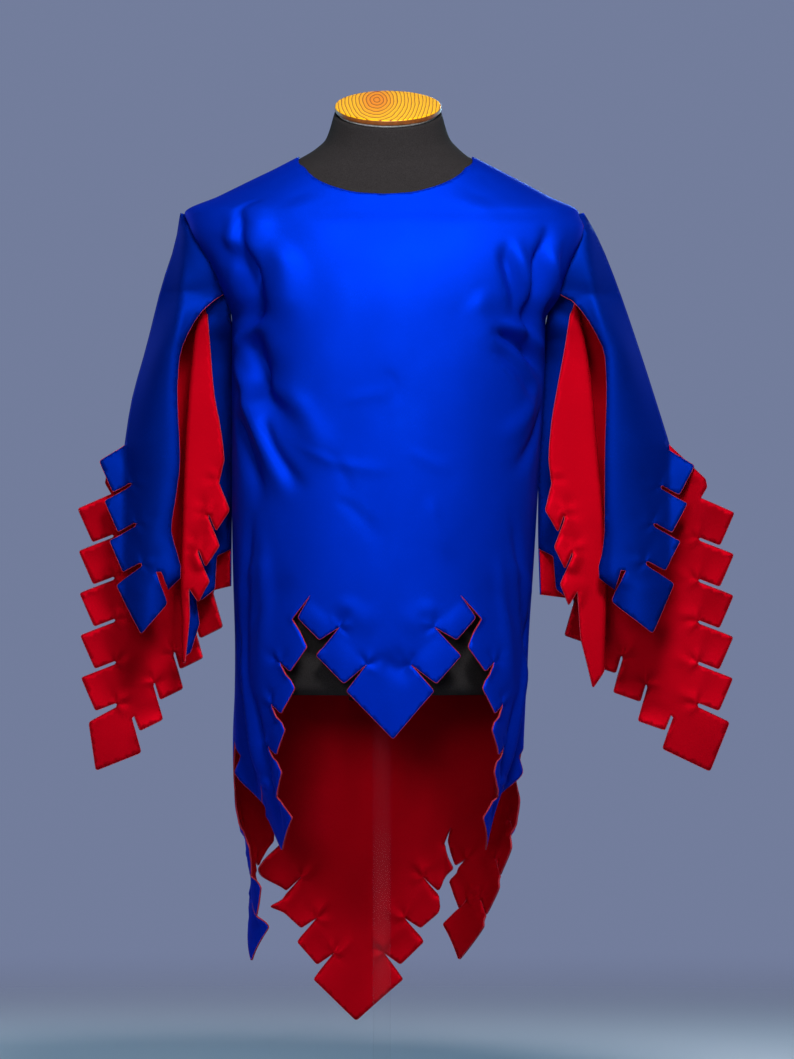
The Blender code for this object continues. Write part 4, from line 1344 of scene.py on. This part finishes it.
@dataclass
class SleeveCloth:
    """One hanging sleeve: over-arm half, under half and the strip beside the body."""

    side: Side
    body: BodyCloth
    pitch: float = 5.5
    bulge: float = 16.0
    turn_radius: float = 5.0
    slot: float = 4.5
    seam_line: dict[str, list[float]] = field(default_factory=lambda: {
        "z": [839, 890, 964, 1039, 1100, 1132],
        "left": [334, 326, 306, 287, 268, 263],
        "right": [357, 341, 317, 291, 266, 248],
    })
    slit_line: dict[str, list[float]] = field(default_factory=lambda: {
        "z": [655, 674, 702, 730, 773, 819, 905, 951, 984, 1008, 1022],
        "left": [279, 262, 268, 275, 269, 264, 267, 264, 251, 235, 219],
        "right": [288, 266, 272, 275, 275, 275, 277, 275, 261, 245, 232],
    })
    turn_line: dict[str, list[float]] = field(default_factory=lambda: {
        "z": [500, 563, 612, 660, 731, 819, 890, 945, 1003, 1020],
        "left": [262, 256, 256, 258, 256, 253, 249, 244, 236, 230],
        "right": [268, 270, 271, 272, 270, 262, 256, 249, 238, 234],
    })
    free_edge: dict[str, list[float]] = field(default_factory=lambda: {
        "z": [786, 819, 861, 905, 964, 1003],
        "left": [214, 208, 213, 221, 226, 229],
        "right": [206, 204, 207, 214, 225, 231],
    })
    layers: dict[str, list[float]] = field(default_factory=lambda: {
        "z": [400, 600, 700, 839, 940, 970, 997, 1039, 1132],
        "front_seam": [-10, -12, -4, 14, 12, 11, 10, 6, -0.9],
        "front_edge": [-22, -24, -28, -36, -40, -40, -38, -30, -20],
        "back_seam": [62, 52, 40, 16, 14, 13, 12, 8, 1.2],
        "underarm": [38, 38, 38, 38, 36, 24, 8, 8, 8],
        "turn": [4, 4, 5, 6, 3, 0, -4, -6, -6],
    })
    beside: dict[str, list[float]] = field(default_factory=lambda: {
        "z": [600, 740, 794, 860, 921, 980, 1004],
        "left": [201, 200, 199.5, 199, 198.6, 197.4, 196.4],
        "right": [196, 192, 192.4, 195.5, 198.0, 198.4, 197.4],
    })
    ridge: dict[str, list[float]] = field(default_factory=lambda: {
        "z": [839, 951, 997, 1041, 1115],
        "left": [268, 268, 264, 260, 253],
        "right": [281, 276, 268, 258, 247],
    })
    front_tabs: dict[str, tuple] = field(default_factory=lambda: {
        "notch": ((334, 838), (357, 832)), "slot": ((314, 686), (329, 688)),
        "corner": ((345, 660), (363, 662)), "tip": ((312, 598), (335, 599)),
        "inner": ((280, 637), (283, 640)), "end": ((293, 677), (301, 679)),
    })
    back_tabs: dict[str, tuple] = field(default_factory=lambda: {
        "start": ((352, 776), (398, 771)), "slot": ((348, 507), (397, 507)),
        "corner": ((382, 485), (436, 485)), "tip": ((373, 423), (411, 422)),
        "inner": ((315, 446), (350, 451)), "end": ((324, 493), (361, 494)),
        "underarm": ((222, 651), (236, 640)),
    })
    strip_tabs: dict[str, tuple] = field(default_factory=lambda: {
        "free": ((214, 792), (207, 792)), "slot": ((246, 716), (234, 712)),
        "tip": ((262, 560), (264, 529)), "corner": ((252, 618), (245, 590)),
    })
    strip_hem: tuple[tuple[float, float, float], ...] = (
        (0.0, 706.0, 0.0), (18.0, 697.0, 3.0), (20.0, 655.0, 3.0), (38.0, 640.0, 3.0), (44.0, 676.0, 2.0))
    strip_rise: tuple[tuple[float, float], ...] = ((640.0, 13.0), (612.0, 16.0), (575.0, 5.0))
    armhole_steps: tuple[float, ...] = (1048.0, 1068.0, 1092.0, 1108.0, 1115.0, 1121.0, 1126.0, 1130.5)

    def pick(self, pair: tuple) -> Point:
        """The figure of a pair for this side."""
        return np.array(pair[0] if self.side is Side.PICTURE_LEFT else pair[1], float)

    def read(self, table: dict[str, list[float]], z: Point, name: str | None = None) -> Point:
        """Read one of the sleeve tables, by default the column of this side."""
        return smooth_read(table["z"], table[name or self.side.column], z)

    def front_outline(self) -> Outline:
        """Outline of the over-arm half.

        Returns:
            The closed outline.
        """
        run = Outline()
        notch = self.pick(self.front_tabs["notch"])
        slot = self.pick(self.front_tabs["slot"])
        for z in np.linspace(SHOULDER_TOP, 846.0, 12):
            run.add((float(self.read(self.seam_line, z)), z), Edge.SEAM)
        run.add(notch)
        run.dags(notch, slot, 3, (0.88, -0.47), 38, 25, self.slot)
        run.add(slot + np.array((-1.0, -3.0)))
        for name in ("corner", "tip", "inner"):
            run.add(self.pick(self.front_tabs[name]), rounding=TIP_ROUNDING)
        run.add(self.pick(self.front_tabs["end"]))
        run.add(self.pick(self.front_tabs["end"]) + np.array((-6.0, 0.0)))
        for z in np.linspace(655.0, 1022.0, 26):
            run.add((float(self.read(self.slit_line, z)), z))
        for z in (1029.0,) + self.armhole_steps:
            run.add((self.body.armhole(z, self.side, 0.2), z), Edge.SEAM)
        return run

    def back_outline(self) -> Outline:
        """Outline of the under half.

        Returns:
            The closed outline.
        """
        run = Outline()
        for z in np.linspace(SHOULDER_TOP, 839.0, 12):
            run.add((float(self.read(self.seam_line, z)), z), Edge.SEAM)
        run.edges[-1] = Edge.FREE
        start = self.pick(self.back_tabs["start"])
        slot = self.pick(self.back_tabs["slot"])
        end = self.pick(self.back_tabs["end"])
        under = self.pick(self.back_tabs["underarm"])
        run.add(start + np.array((6.0, 24.0)), rounding=2.0)
        run.add(start + np.array((8.0, 14.0)), rounding=2.0)
        run.add(start)
        run.dags(start, slot, 5, (0.93, -0.36), 46, 27, self.slot)
        run.add(slot + np.array((-1.0, -3.0)))
        for name in ("corner", "tip", "inner"):
            run.add(self.pick(self.back_tabs[name]), rounding=TIP_ROUNDING)
        run.add(end + np.array((3.0, -3.0)))
        run.add(end)
        run.dags(end, under, 4, (-0.28, -0.96), 22, 44, self.slot)
        for z in (float(under[1]) + 8.0, 700.0, 740.0, 794.0, 839.0, 880.0, 921.0, 950.0, 975.0):
            run.add((float(self.read(self.beside, z)), z), Edge.SEAM)
        for z in (1006.0, 1029.0) + self.armhole_steps:
            run.add((self.body.armhole(z, self.side, ARM_CLEARANCE), z), Edge.SEAM)
        return run

    def seam_guides(self, low: float) -> list[tuple[float, float]]:
        """Even rows of pattern points beside the over-arm seam.

        Args:
            low: Height of the seam's lower end.

        Returns:
            The points, on the pattern.
        """
        rows = []
        for z in np.arange(low + 8.0, 1120.0, self.pitch):
            seam = float(self.read(self.seam_line, z))
            rows += [(seam - step, float(z)) for step in (2.5, 6.0, 10.5)]
        return rows

    def front_depth(self, out: Point, z: Point) -> Point:
        """Front-to-back place of the over-arm half.

        Args:
            out: Distance out from the body's middle.
            z: Height.

        Returns:
            The place of each point.
        """
        seam = self.read(self.seam_line, z)
        hole = np.array([self.body.armhole(float(v), self.side, ARM_CLEARANCE) for v in z])
        edge = np.where(z > 1026, hole, self.read(self.slit_line, z))
        place = (seam - out) / np.maximum(seam - edge, 12.0)
        blend = ease(z, 1010.0, 1050.0)
        edge_y = self.read(self.layers, z, "front_edge")
        inner = -self.body.read("open", z) * blend + edge_y * (1 - blend)
        soft = np.clip(place, 0.0, 1.0)
        fade = np.clip((SHOULDER_TOP - z) / 90.0, 0.0, 1.0)
        y = self.read(self.layers, z, "front_seam") * (1 - soft) + inner * soft
        y = y - self.bulge * fade * np.sin(math.pi * soft)
        ridge = np.sqrt(((out - self.read(self.ridge, z)) / 13.0) ** 2 + 0.01)
        y = y - 13.0 * np.maximum(fade, 0.25) * np.exp(-ridge) * (1.0 - soft ** 4)
        return y + np.maximum(-place, 0.0) * 10.0

    def back_depth(self, out: Point, z: Point) -> Point:
        """Front-to-back place of the under half.

        Args:
            out: Distance out from the body's middle.
            z: Height.

        Returns:
            The place of each point.
        """
        wide = 40.0 * ease(z, 810.0, 790.0) if self.side is Side.PICTURE_RIGHT else 0.0
        seam = self.read(self.seam_line, z) + wide
        hole = np.array([self.body.armhole(float(v), self.side, ARM_CLEARANCE) for v in z])
        edge = np.where(z > 1010, hole, self.read(self.beside, z))
        place = np.clip((seam - out) / np.maximum(seam - edge, 12.0), 0.0, 1.0)
        blend = ease(z, 997.0, 1022.0)
        underarm = self.read(self.layers, z, "underarm")
        inner = (self.body.read("open", z) + 1.0) * blend + underarm * (1 - blend)
        fade = np.clip((SHOULDER_TOP - z) / 90.0, 0.0, 1.0)
        y = self.read(self.layers, z, "back_seam") * (1 - place) + inner * place
        wave = 5.0 * np.sin((out - 200.0) / 38.0 + (z - 600.0) / 210.0)
        return y + (self.bulge + wave) * fade * np.sin(math.pi * place)

    def strip_layout(self, z: Point) -> tuple[Point, float]:
        """Width of the strip beside the body, and the length of its fold."""
        return self.read(self.turn_line, z) - self.read(self.beside, z), math.pi * self.turn_radius

    def strip_from_out(self, out: float, z: float) -> float:
        """Pattern place of a point on the turned-back part of the strip."""
        width, bend = self.strip_layout(z)
        return float(width + bend + (self.read(self.turn_line, z) - out))

    def strip_outline(self) -> Outline:
        """Outline of the strip and its turned-back slit edge.

        Returns:
            The closed outline.
        """
        run = Outline()
        for z in (1030.0, 1014.0, 1000.0, 970.0, 940.0, 900.0, 839.0, 790.0, 740.0):
            run.add((0.0, z), Edge.SEAM)
        for along, z, rounding in self.strip_hem:
            run.add((along, z), rounding=rounding)
        for z, short in self.strip_rise:
            run.add((float(self.strip_layout(z)[0]) - short, z), rounding=2.0)
        tip = self.pick(self.strip_tabs["tip"])
        corner = self.pick(self.strip_tabs["corner"])
        slot = self.pick(self.strip_tabs["slot"])
        free = self.pick(self.strip_tabs["free"])
        run.add((self.strip_from_out(tip[0], tip[1]) + 4.0, tip[1]), rounding=TIP_ROUNDING)
        run.add((self.strip_from_out(corner[0], corner[1]), corner[1]), rounding=TIP_ROUNDING)
        low = np.array((self.strip_from_out(slot[0], slot[1] - 60.0) - 6.0, slot[1] - 60.0))
        high = np.array((self.strip_from_out(free[0], free[1]), free[1]))
        run.add(low + np.array((-1.0, -4.0)))
        run.add(low)
        run.dags(low, high, 3, (0.42, -0.91), 22, 38, self.slot)
        run.drop_last()
        run.add(high)
        for z in np.linspace(819.0, 1003.0, 12):
            run.add((self.strip_from_out(float(self.read(self.free_edge, z)), float(z)), float(z)))
        width, bend = self.strip_layout(1019.0)
        run.add((float(width) + bend * 0.9, 1017.0))
        run.add((float(width) + bend * 0.3, 1028.0))
        run.add((float(width) - 6.0, 1033.0), Edge.SEAM)
        return run

    def strip_guides(self) -> list[tuple[float, float]]:
        """Pattern points that let the strip bend round its fold.

        Returns:
            The points, on the pattern.
        """
        rows = []
        for z in np.arange(536.0, 1016.0, 5.5):
            width, bend = self.strip_layout(z)
            rows += [(float(width) + bend * k / 6, float(z)) for k in range(7)]
        return rows

    def strip_place(self, along: Point, z: Point) -> tuple[Point, Point]:
        """Worn place of strip points.

        Args:
            along: Place across the strip, from the seam beside the body.
            z: Height.

        Returns:
            Distance out from the body's middle, and the front-to-back place.
        """
        width, bend = self.strip_layout(z)
        blend = ease(z, 970.0, 1000.0)
        near = (self.read(self.layers, z, "underarm") - 1.8) * (1 - blend) - 2.0 * blend
        turn = self.read(self.layers, z, "turn")
        line = self.read(self.turn_line, z)
        top = max(self.body.armhole(997.0, self.side, ARM_CLEARANCE) + 2.0, 201.0)
        start = self.read(self.beside, z) * (1 - blend) + top * blend
        flat = np.clip(along / np.maximum(width, 1.0), 0.0, 1.0)
        angle = np.clip((along - width) / self.turn_radius, 0.0, math.pi)
        rest = np.maximum(along - width - bend, 0.0)
        on_flat = along <= width
        out = np.where(on_flat, start + (line - start) * flat, line + self.turn_radius * np.sin(angle) - rest)
        folded = turn - self.turn_radius * (1 - np.cos(angle)) - 0.16 * rest
        return out, np.where(on_flat, near * (1 - flat) + turn * flat, folded)

    def build(self, maker: ClothMaker) -> None:
        """Make the three pieces of this sleeve.

        Args:
            maker: Makes the cloth pieces.
        """
        sign = self.side.sign
        mirrored = self.side is Side.PICTURE_LEFT
        stem = f"sleeve_{self.side.label}"
        outline = self.front_outline()
        front = FlatCut.cut(outline, self.pitch, slot_rings(outline) + self.seam_guides(839.0))
        out, z = front.points[:, 0], front.points[:, 1]
        low = ease(z, 900.0, 700.0)
        y = self.front_depth(out, z) - tab_relief(front.outline, out, z, 5.0)
        y = y - ripple(out, z, 2.0 + sign, 40.0, 1.6) * ease(z, 1120.0, 1040.0)
        y = y - low * ripple(out, z, 5.0, 24.0, 1.4)
        worn = to_frame(np.column_stack([sign * out, y, z]))
        maker.sheet(f"{stem}_front_cloth", front, worn, mirrored, [f"{stem}_front"])
        outline = self.back_outline()
        back = FlatCut.cut(outline, self.pitch, slot_rings(outline) + self.seam_guides(839.0))
        out, z = back.points[:, 0], back.points[:, 1]
        low = ease(z, 900.0, 650.0)
        y = self.back_depth(out, z) + tab_relief(back.outline, out, z, -5.0)
        y = y + ripple(out, z, 3.0 + sign, 46.0, 1.8) * ease(z, 1120.0, 1000.0)
        y = y + low * ripple(out, z, 7.0, 26.0, 2.0)
        worn = to_frame(np.column_stack([sign * out, y, z]))
        maker.sheet(f"{stem}_back_cloth", back, worn, not mirrored, [f"{stem}_back", f"{stem}_back_lining"])
        strip = FlatCut.cut(self.strip_outline(), 5.0, self.strip_guides())
        along, z = strip.points[:, 0], strip.points[:, 1]
        out, y = self.strip_place(along, z)
        y = y - tab_relief(strip.outline, along, z, 4.0) * ease(z, 830.0, 780.0)
        worn = to_frame(np.column_stack([sign * out, y, z]))
        maker.sheet(f"{stem}_strip_cloth", strip, worn, mirrored, [f"{stem}_strip", f"{stem}_strip_lining"])


# Dress form and stand

@dataclass
class DressForm:
    """Jersey torso, white rim, varnished neck cap and the plain stand."""

    segments: int = 96
    neck_tilt: float = math.radians(19.0)
    sections: dict[str, list[float]] = field(default_factory=lambda: {
        "z": [522, 560, 620, 700, 780, 860, 940, 1000, 1040, 1080, 1120, 1150, 1170, 1188, 1203, 1213,
              1226, 1259],
        "centre": [-9, -9, -8, -6, -4, -2, 0, 0, 0, 0, -2, -3, -3, -3, -3, -1, 0, 0],
        "half": [168, 172, 172, 168, 165, 168, 176, 184, 192, 199, 199, 195, 167, 139, 107, 92, 79, 68],
        "front": [116, 120, 120, 114, 104, 104, 112, 118, 118, 110, 92, 80, 74, 69, 65, 64, 63, 62],
        "back": [118, 122, 122, 114, 104, 106, 112, 114, 112, 104, 92, 82, 75, 69, 65, 64, 63, 62],
    })
    cap_radius: float = 67.5
    cap_height: float = 7.5
    cap_edge: float = 2.0
    rim_radius: float = 64.0
    rim_height: float = 2.2
    gap: float = 0.5

    def ring(self, z: float, tilt: float) -> list[Vector]:
        """Points round one section of the torso, in metres in the frame.

        Args:
            z: Height of the section.
            tilt: Its tilt towards the front, in radians.

        Returns:
            The points.
        """
        values = {name: float(smooth_read(self.sections["z"], self.sections[name], z))
                  for name in ("centre", "half", "front", "back")}
        points = []
        for index in range(self.segments):
            angle = 2 * math.pi * index / self.segments
            depth = values["back"] if math.sin(angle) > 0 else values["front"]
            y = depth * math.sin(angle)
            x = values["centre"] + values["half"] * math.cos(angle)
            points.append(Vector((x * MM + MIDDLE_X, y * MM, (z + y * math.tan(tilt)) * MM)))
        return points

    def torso(self) -> bpy.types.Object:
        """Jersey-covered torso.

        Returns:
            The torso.
        """
        shape = bmesh.new()
        heights = list(np.linspace(522.0, 1150.0, 42)) + list(np.linspace(1155.0, self.sections["z"][-1], 28))
        loops = []
        for z in heights:
            tilt = self.neck_tilt * float(ease(z, 1175.0, self.sections["z"][-1]))
            made = bmesh.ops.create_circle(shape, segments=self.segments, radius=1.0, cap_ends=False)
            for vertex, place in zip(made["verts"], self.ring(z, tilt)):
                vertex.co = place
            loops.append(made["verts"])
        for low, high in zip(loops, loops[1:]):
            lower, upper = set(low), set(high)
            rims = {e for v in low + high for e in v.link_edges
                    if set(e.verts) <= lower or set(e.verts) <= upper}
            bmesh.ops.bridge_loops(shape, edges=list(rims))
        bmesh.ops.contextual_create(shape, geom=[e for e in shape.edges if set(e.verts) <= set(loops[0])])
        bmesh.ops.contextual_create(shape, geom=[e for e in shape.edges if set(e.verts) <= set(loops[-1])])
        bmesh.ops.recalc_face_normals(shape, faces=shape.faces[:])
        for face in shape.faces:
            face.smooth = len(face.verts) == 4
        return self.finish("form_torso_jersey", shape, JERSEY.material(), ["form_torso"])

    def turned(self, name: str, profile: Sequence[tuple[float, float]], bottom: float,
               material: bpy.types.Material, nodes: Sequence[str]) -> bpy.types.Object:
        """Turn a profile about the tilted neck axis.

        Args:
            name: Name of the piece.
            profile: Radius and height pairs from the bottom middle to the top middle, in millimetres.
            bottom: Height of its underside in the frame.
            material: Its material.
            nodes: CAD nodes that it stands for.

        Returns:
            The piece.
        """
        shape = bmesh.new()
        verts = [shape.verts.new((r * MM, 0.0, h * MM)) for r, h in profile]
        edges = [shape.edges.new(pair) for pair in zip(verts, verts[1:])]
        bmesh.ops.spin(shape, geom=verts + edges, cent=(0, 0, 0), axis=(0, 0, 1), angle=2 * math.pi,
                       steps=self.segments, use_merge=True, use_duplicate=False)
        bmesh.ops.remove_doubles(shape, verts=shape.verts[:], dist=1e-6)
        bmesh.ops.recalc_face_normals(shape, faces=shape.faces[:])
        tilt = Matrix.Rotation(self.neck_tilt, 3, "X")
        bmesh.ops.rotate(shape, verts=shape.verts[:], cent=(0, 0, 0), matrix=tilt)
        bmesh.ops.translate(shape, verts=shape.verts[:], vec=(MIDDLE_X, 0.0, bottom * MM))
        for face in shape.faces:
            face.smooth = True
        return self.finish(name, shape, material, nodes)

    def finish(self, name: str, shape: bmesh.types.BMesh, material: bpy.types.Material,
               nodes: Sequence[str]) -> bpy.types.Object:
        """Turn a bmesh into a finished piece that rides on the part.

        Args:
            name: Name of the piece.
            shape: Its shape, freed afterwards.
            material: Its material.
            nodes: CAD nodes that it stands for.

        Returns:
            The piece.
        """
        mesh = bpy.data.meshes.new(name)
        shape.to_mesh(mesh)
        shape.free()
        mesh.materials.append(material)
        piece = bpy.data.objects.new(name, mesh)
        bpy.context.scene.collection.objects.link(piece)
        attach(piece, BODY_NAME)
        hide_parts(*nodes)
        LOG.info("%s: %d faces", name, len(mesh.polygons))
        return piece

    def build(self) -> None:
        """Make the torso, rim and cap, and paint the stand."""
        self.torso()
        top = self.sections["z"][-1] + self.gap
        r, h = self.rim_radius, self.rim_height
        low = [(0, 0), (r - 1, 0), (r - 0.3, 0.3), (r, 1)]
        profile = low + [(radius, h - height) for radius, height in low[::-1]]
        self.turned("neck_rim_ring", profile, top, WHITE_RIM.material(), ["neck_rim"])
        bottom = top + (h + self.gap) / math.cos(self.neck_tilt)
        r, h, edge = self.cap_radius, self.cap_height, self.cap_edge
        flat = r - edge
        profile = [(0.0, 0.0), (flat, 0.0)]
        profile += [(flat + edge * math.sin(a), edge - edge * math.cos(a)) for a in np.linspace(0.2, 1.57, 5)]
        profile += [(flat + edge * math.cos(a), h - edge + edge * math.sin(a))
                    for a in np.linspace(0.0, 1.4, 7)]
        profile += [(r - 2 * edge, h), (r * 0.5, h + 0.1), (0.0, h + 0.15)]
        middle = Vector((MIDDLE_X, 0.0, bottom * MM))
        cap = self.turned("neck_cap_wood", profile, bottom, PineFinish().material(middle),
                          ["neck_cap"])
        cap.data.materials.append(DARK_CAP_SIDE.material())
        # Faces that do not face up along the neck take the dark brown.
        up = Matrix.Rotation(self.neck_tilt, 3, "X") @ Vector((0.0, 0.0, 1.0))
        for face in cap.data.polygons:
            face.material_index = int(face.normal.dot(up) < 0.55)
        steel, clear = BLACK_STEEL.material(), self.acrylic()
        for node in ("stand_base", "stand_collar", "stand_pole", "stand_flange"):
            stand = bpy.data.objects[node]
            stand.data.materials.clear()
            stand.data.materials.append(clear if node == "stand_pole" else steel)

    @staticmethod
    def acrylic() -> bpy.types.Material:
        """Clear polished acrylic of the pole, seen mostly at its edges.

        Returns:
            The material.
        """
        board = NodeBoard("clear_acrylic")
        board.shader.inputs["Base Color"].default_value = (0.30, 0.36, 0.44, 1.0)
        board.shader.inputs["Roughness"].default_value = 0.2
        board.shader.inputs["Specular IOR Level"].default_value = 0.15
        facing = board.node("ShaderNodeLayerWeight")
        facing.inputs["Blend"].default_value = 0.3
        clear = board.fade(facing.outputs["Facing"], (0.5, 0.012), (1.0, 0.3))
        board.join(clear, board.shader.inputs["Alpha"])
        return board.material


# Studio

@dataclass
class Studio:
    """Pale floor, soft lights and the camera."""

    distance: float = 12.0
    picture: tuple[int, int] = (794, 1059)
    scale: float = 0.00127
    aim_px: tuple[float, float] = (397.0, 529.5)
    middle_px: float = 388.0
    ground_px: float = 1105.0
    room: tuple[float, float, float, float] = (0.055, 0.06, 0.075, 1.0)
    backdrop: tuple[float, float, float, float] = (0.17, 0.205, 0.33, 1.0)

    def camera(self) -> None:
        """Level camera at the photograph's place."""
        data = bpy.data.cameras.new("camera")
        data.sensor_width = 36.0
        data.lens = 36.0 * self.distance / (self.picture[1] * self.scale)
        eye = bpy.data.objects.new("camera", data)
        x = (self.aim_px[0] - self.middle_px) * self.scale + MIDDLE_X
        z = (self.ground_px - self.aim_px[1]) * self.scale
        eye.location = (x, -self.distance, z)
        eye.rotation_euler = (math.radians(90.0), 0.0, 0.0)
        bpy.context.scene.collection.objects.link(eye)
        bpy.context.scene.camera = eye

    def light(self, name: str, place: tuple[float, float, float], size: float, power: float,
              color: tuple[float, float, float] = (1.0, 1.0, 1.0), target: float = 0.75,
              spread: float = 180.0) -> None:
        """Soft square light aimed at the middle of the surcoat.

        Args:
            name: Name of the light.
            place: Where it hangs.
            size: Side of its square, in metres.
            power: Its power in watts.
            color: Its colour.
            target: Height that it is aimed at.
            spread: Spread of its beam, in degrees.
        """
        data = bpy.data.lights.new(name, "AREA")
        data.size = size
        data.spread = math.radians(spread)
        data.energy = power
        data.color = color
        lamp = bpy.data.objects.new(name, data)
        lamp.location = place
        way = Vector((0.0, 0.0, target)) - Vector(place)
        lamp.rotation_euler = way.to_track_quat("-Z", "Y").to_euler()
        bpy.context.scene.collection.objects.link(lamp)

    @staticmethod
    def pale() -> bpy.types.Material:
        """Pale floor that fades softly into the backdrop away from the part.

        Returns:
            The material.
        """
        board = NodeBoard("pale_floor")
        board.shader.inputs["Base Color"].default_value = (0.72, 0.76, 0.86, 1.0)
        board.shader.inputs["Roughness"].default_value = 0.9
        place = board.node("ShaderNodeTexCoord").outputs["Object"]
        reach = board.node("ShaderNodeVectorMath", operation="LENGTH")
        board.join(place, reach.inputs[0])
        board.join(board.fade(reach.outputs["Value"], (0.7, 1.0), (4.5, 0.0)), board.shader.inputs["Alpha"])
        return board.material

    def air(self) -> None:
        """Room air: a grey-blue backdrop behind the part and a dimmer room in front of it."""
        world = bpy.data.worlds.new("studio_air")
        world.use_nodes = True
        tree = world.node_tree
        way = tree.nodes.new("ShaderNodeTexCoord")
        parts = tree.nodes.new("ShaderNodeSeparateXYZ")
        tree.links.new(way.outputs["Generated"], parts.inputs["Vector"])
        behind = tree.nodes.new("ShaderNodeMapRange")
        behind.interpolation_type = "SMOOTHSTEP"
        behind.inputs["From Min"].default_value = 0.2
        behind.inputs["From Max"].default_value = 0.95
        tree.links.new(parts.outputs["Y"], behind.inputs["Value"])
        blend = tree.nodes.new("ShaderNodeMix")
        blend.data_type = "RGBA"
        blend.inputs[6].default_value = self.room
        blend.inputs[7].default_value = self.backdrop
        tree.links.new(behind.outputs["Result"], blend.inputs[0])
        tree.links.new(blend.outputs[2], tree.nodes["Background"].inputs["Color"])
        tree.nodes["Background"].inputs["Strength"].default_value = 1.0
        bpy.context.scene.world = world
        bpy.context.scene.view_settings.view_transform = "Standard"

    def build(self) -> None:
        """Set up the studio."""
        shape = bmesh.new()
        bmesh.ops.create_grid(shape, x_segments=1, y_segments=1, size=12.0)
        mesh = bpy.data.meshes.new("floor")
        shape.to_mesh(mesh)
        shape.free()
        floor = bpy.data.objects.new("floor", mesh)
        mesh.materials.append(self.pale())
        bpy.context.scene.collection.objects.link(floor)
        self.air()
        self.light("key", (0.3, -1.9, 2.5), 0.6, 7.2, target=0.95, spread=50.0)
        self.light("fill", (-0.5, -3.2, 1.5), 1.0, 3.2, target=1.0, spread=50.0)
        self.light("low_fill", (0.2, -4.2, 0.8), 1.4, 3.0)
        self.light("back_key", (0.5, 2.7, 1.5), 0.9, 4.5, (0.5, 0.88, 1.0), target=0.9, spread=50.0)
        self.light("rim_left", (-1.8, 1.7, 1.3), 0.8, 9.0, (0.4, 0.86, 1.0))
        self.light("rim_right", (1.8, 1.7, 1.3), 0.8, 9.0, (0.4, 0.86, 1.0))
        self.camera()


def main() -> None:
    """Build the surcoat, its dress form and the studio."""
    body_cloth, shaded_sleeve_cloth = Wardrobe.open()
    body = BodyCloth()
    DressForm().build()
    body.build(ClothMaker(body_cloth))
    for side in Side:
        SleeveCloth(side, body).build(ClothMaker(shaded_sleeve_cloth))
    Studio().build()


if __name__ == "__main__":
    main()
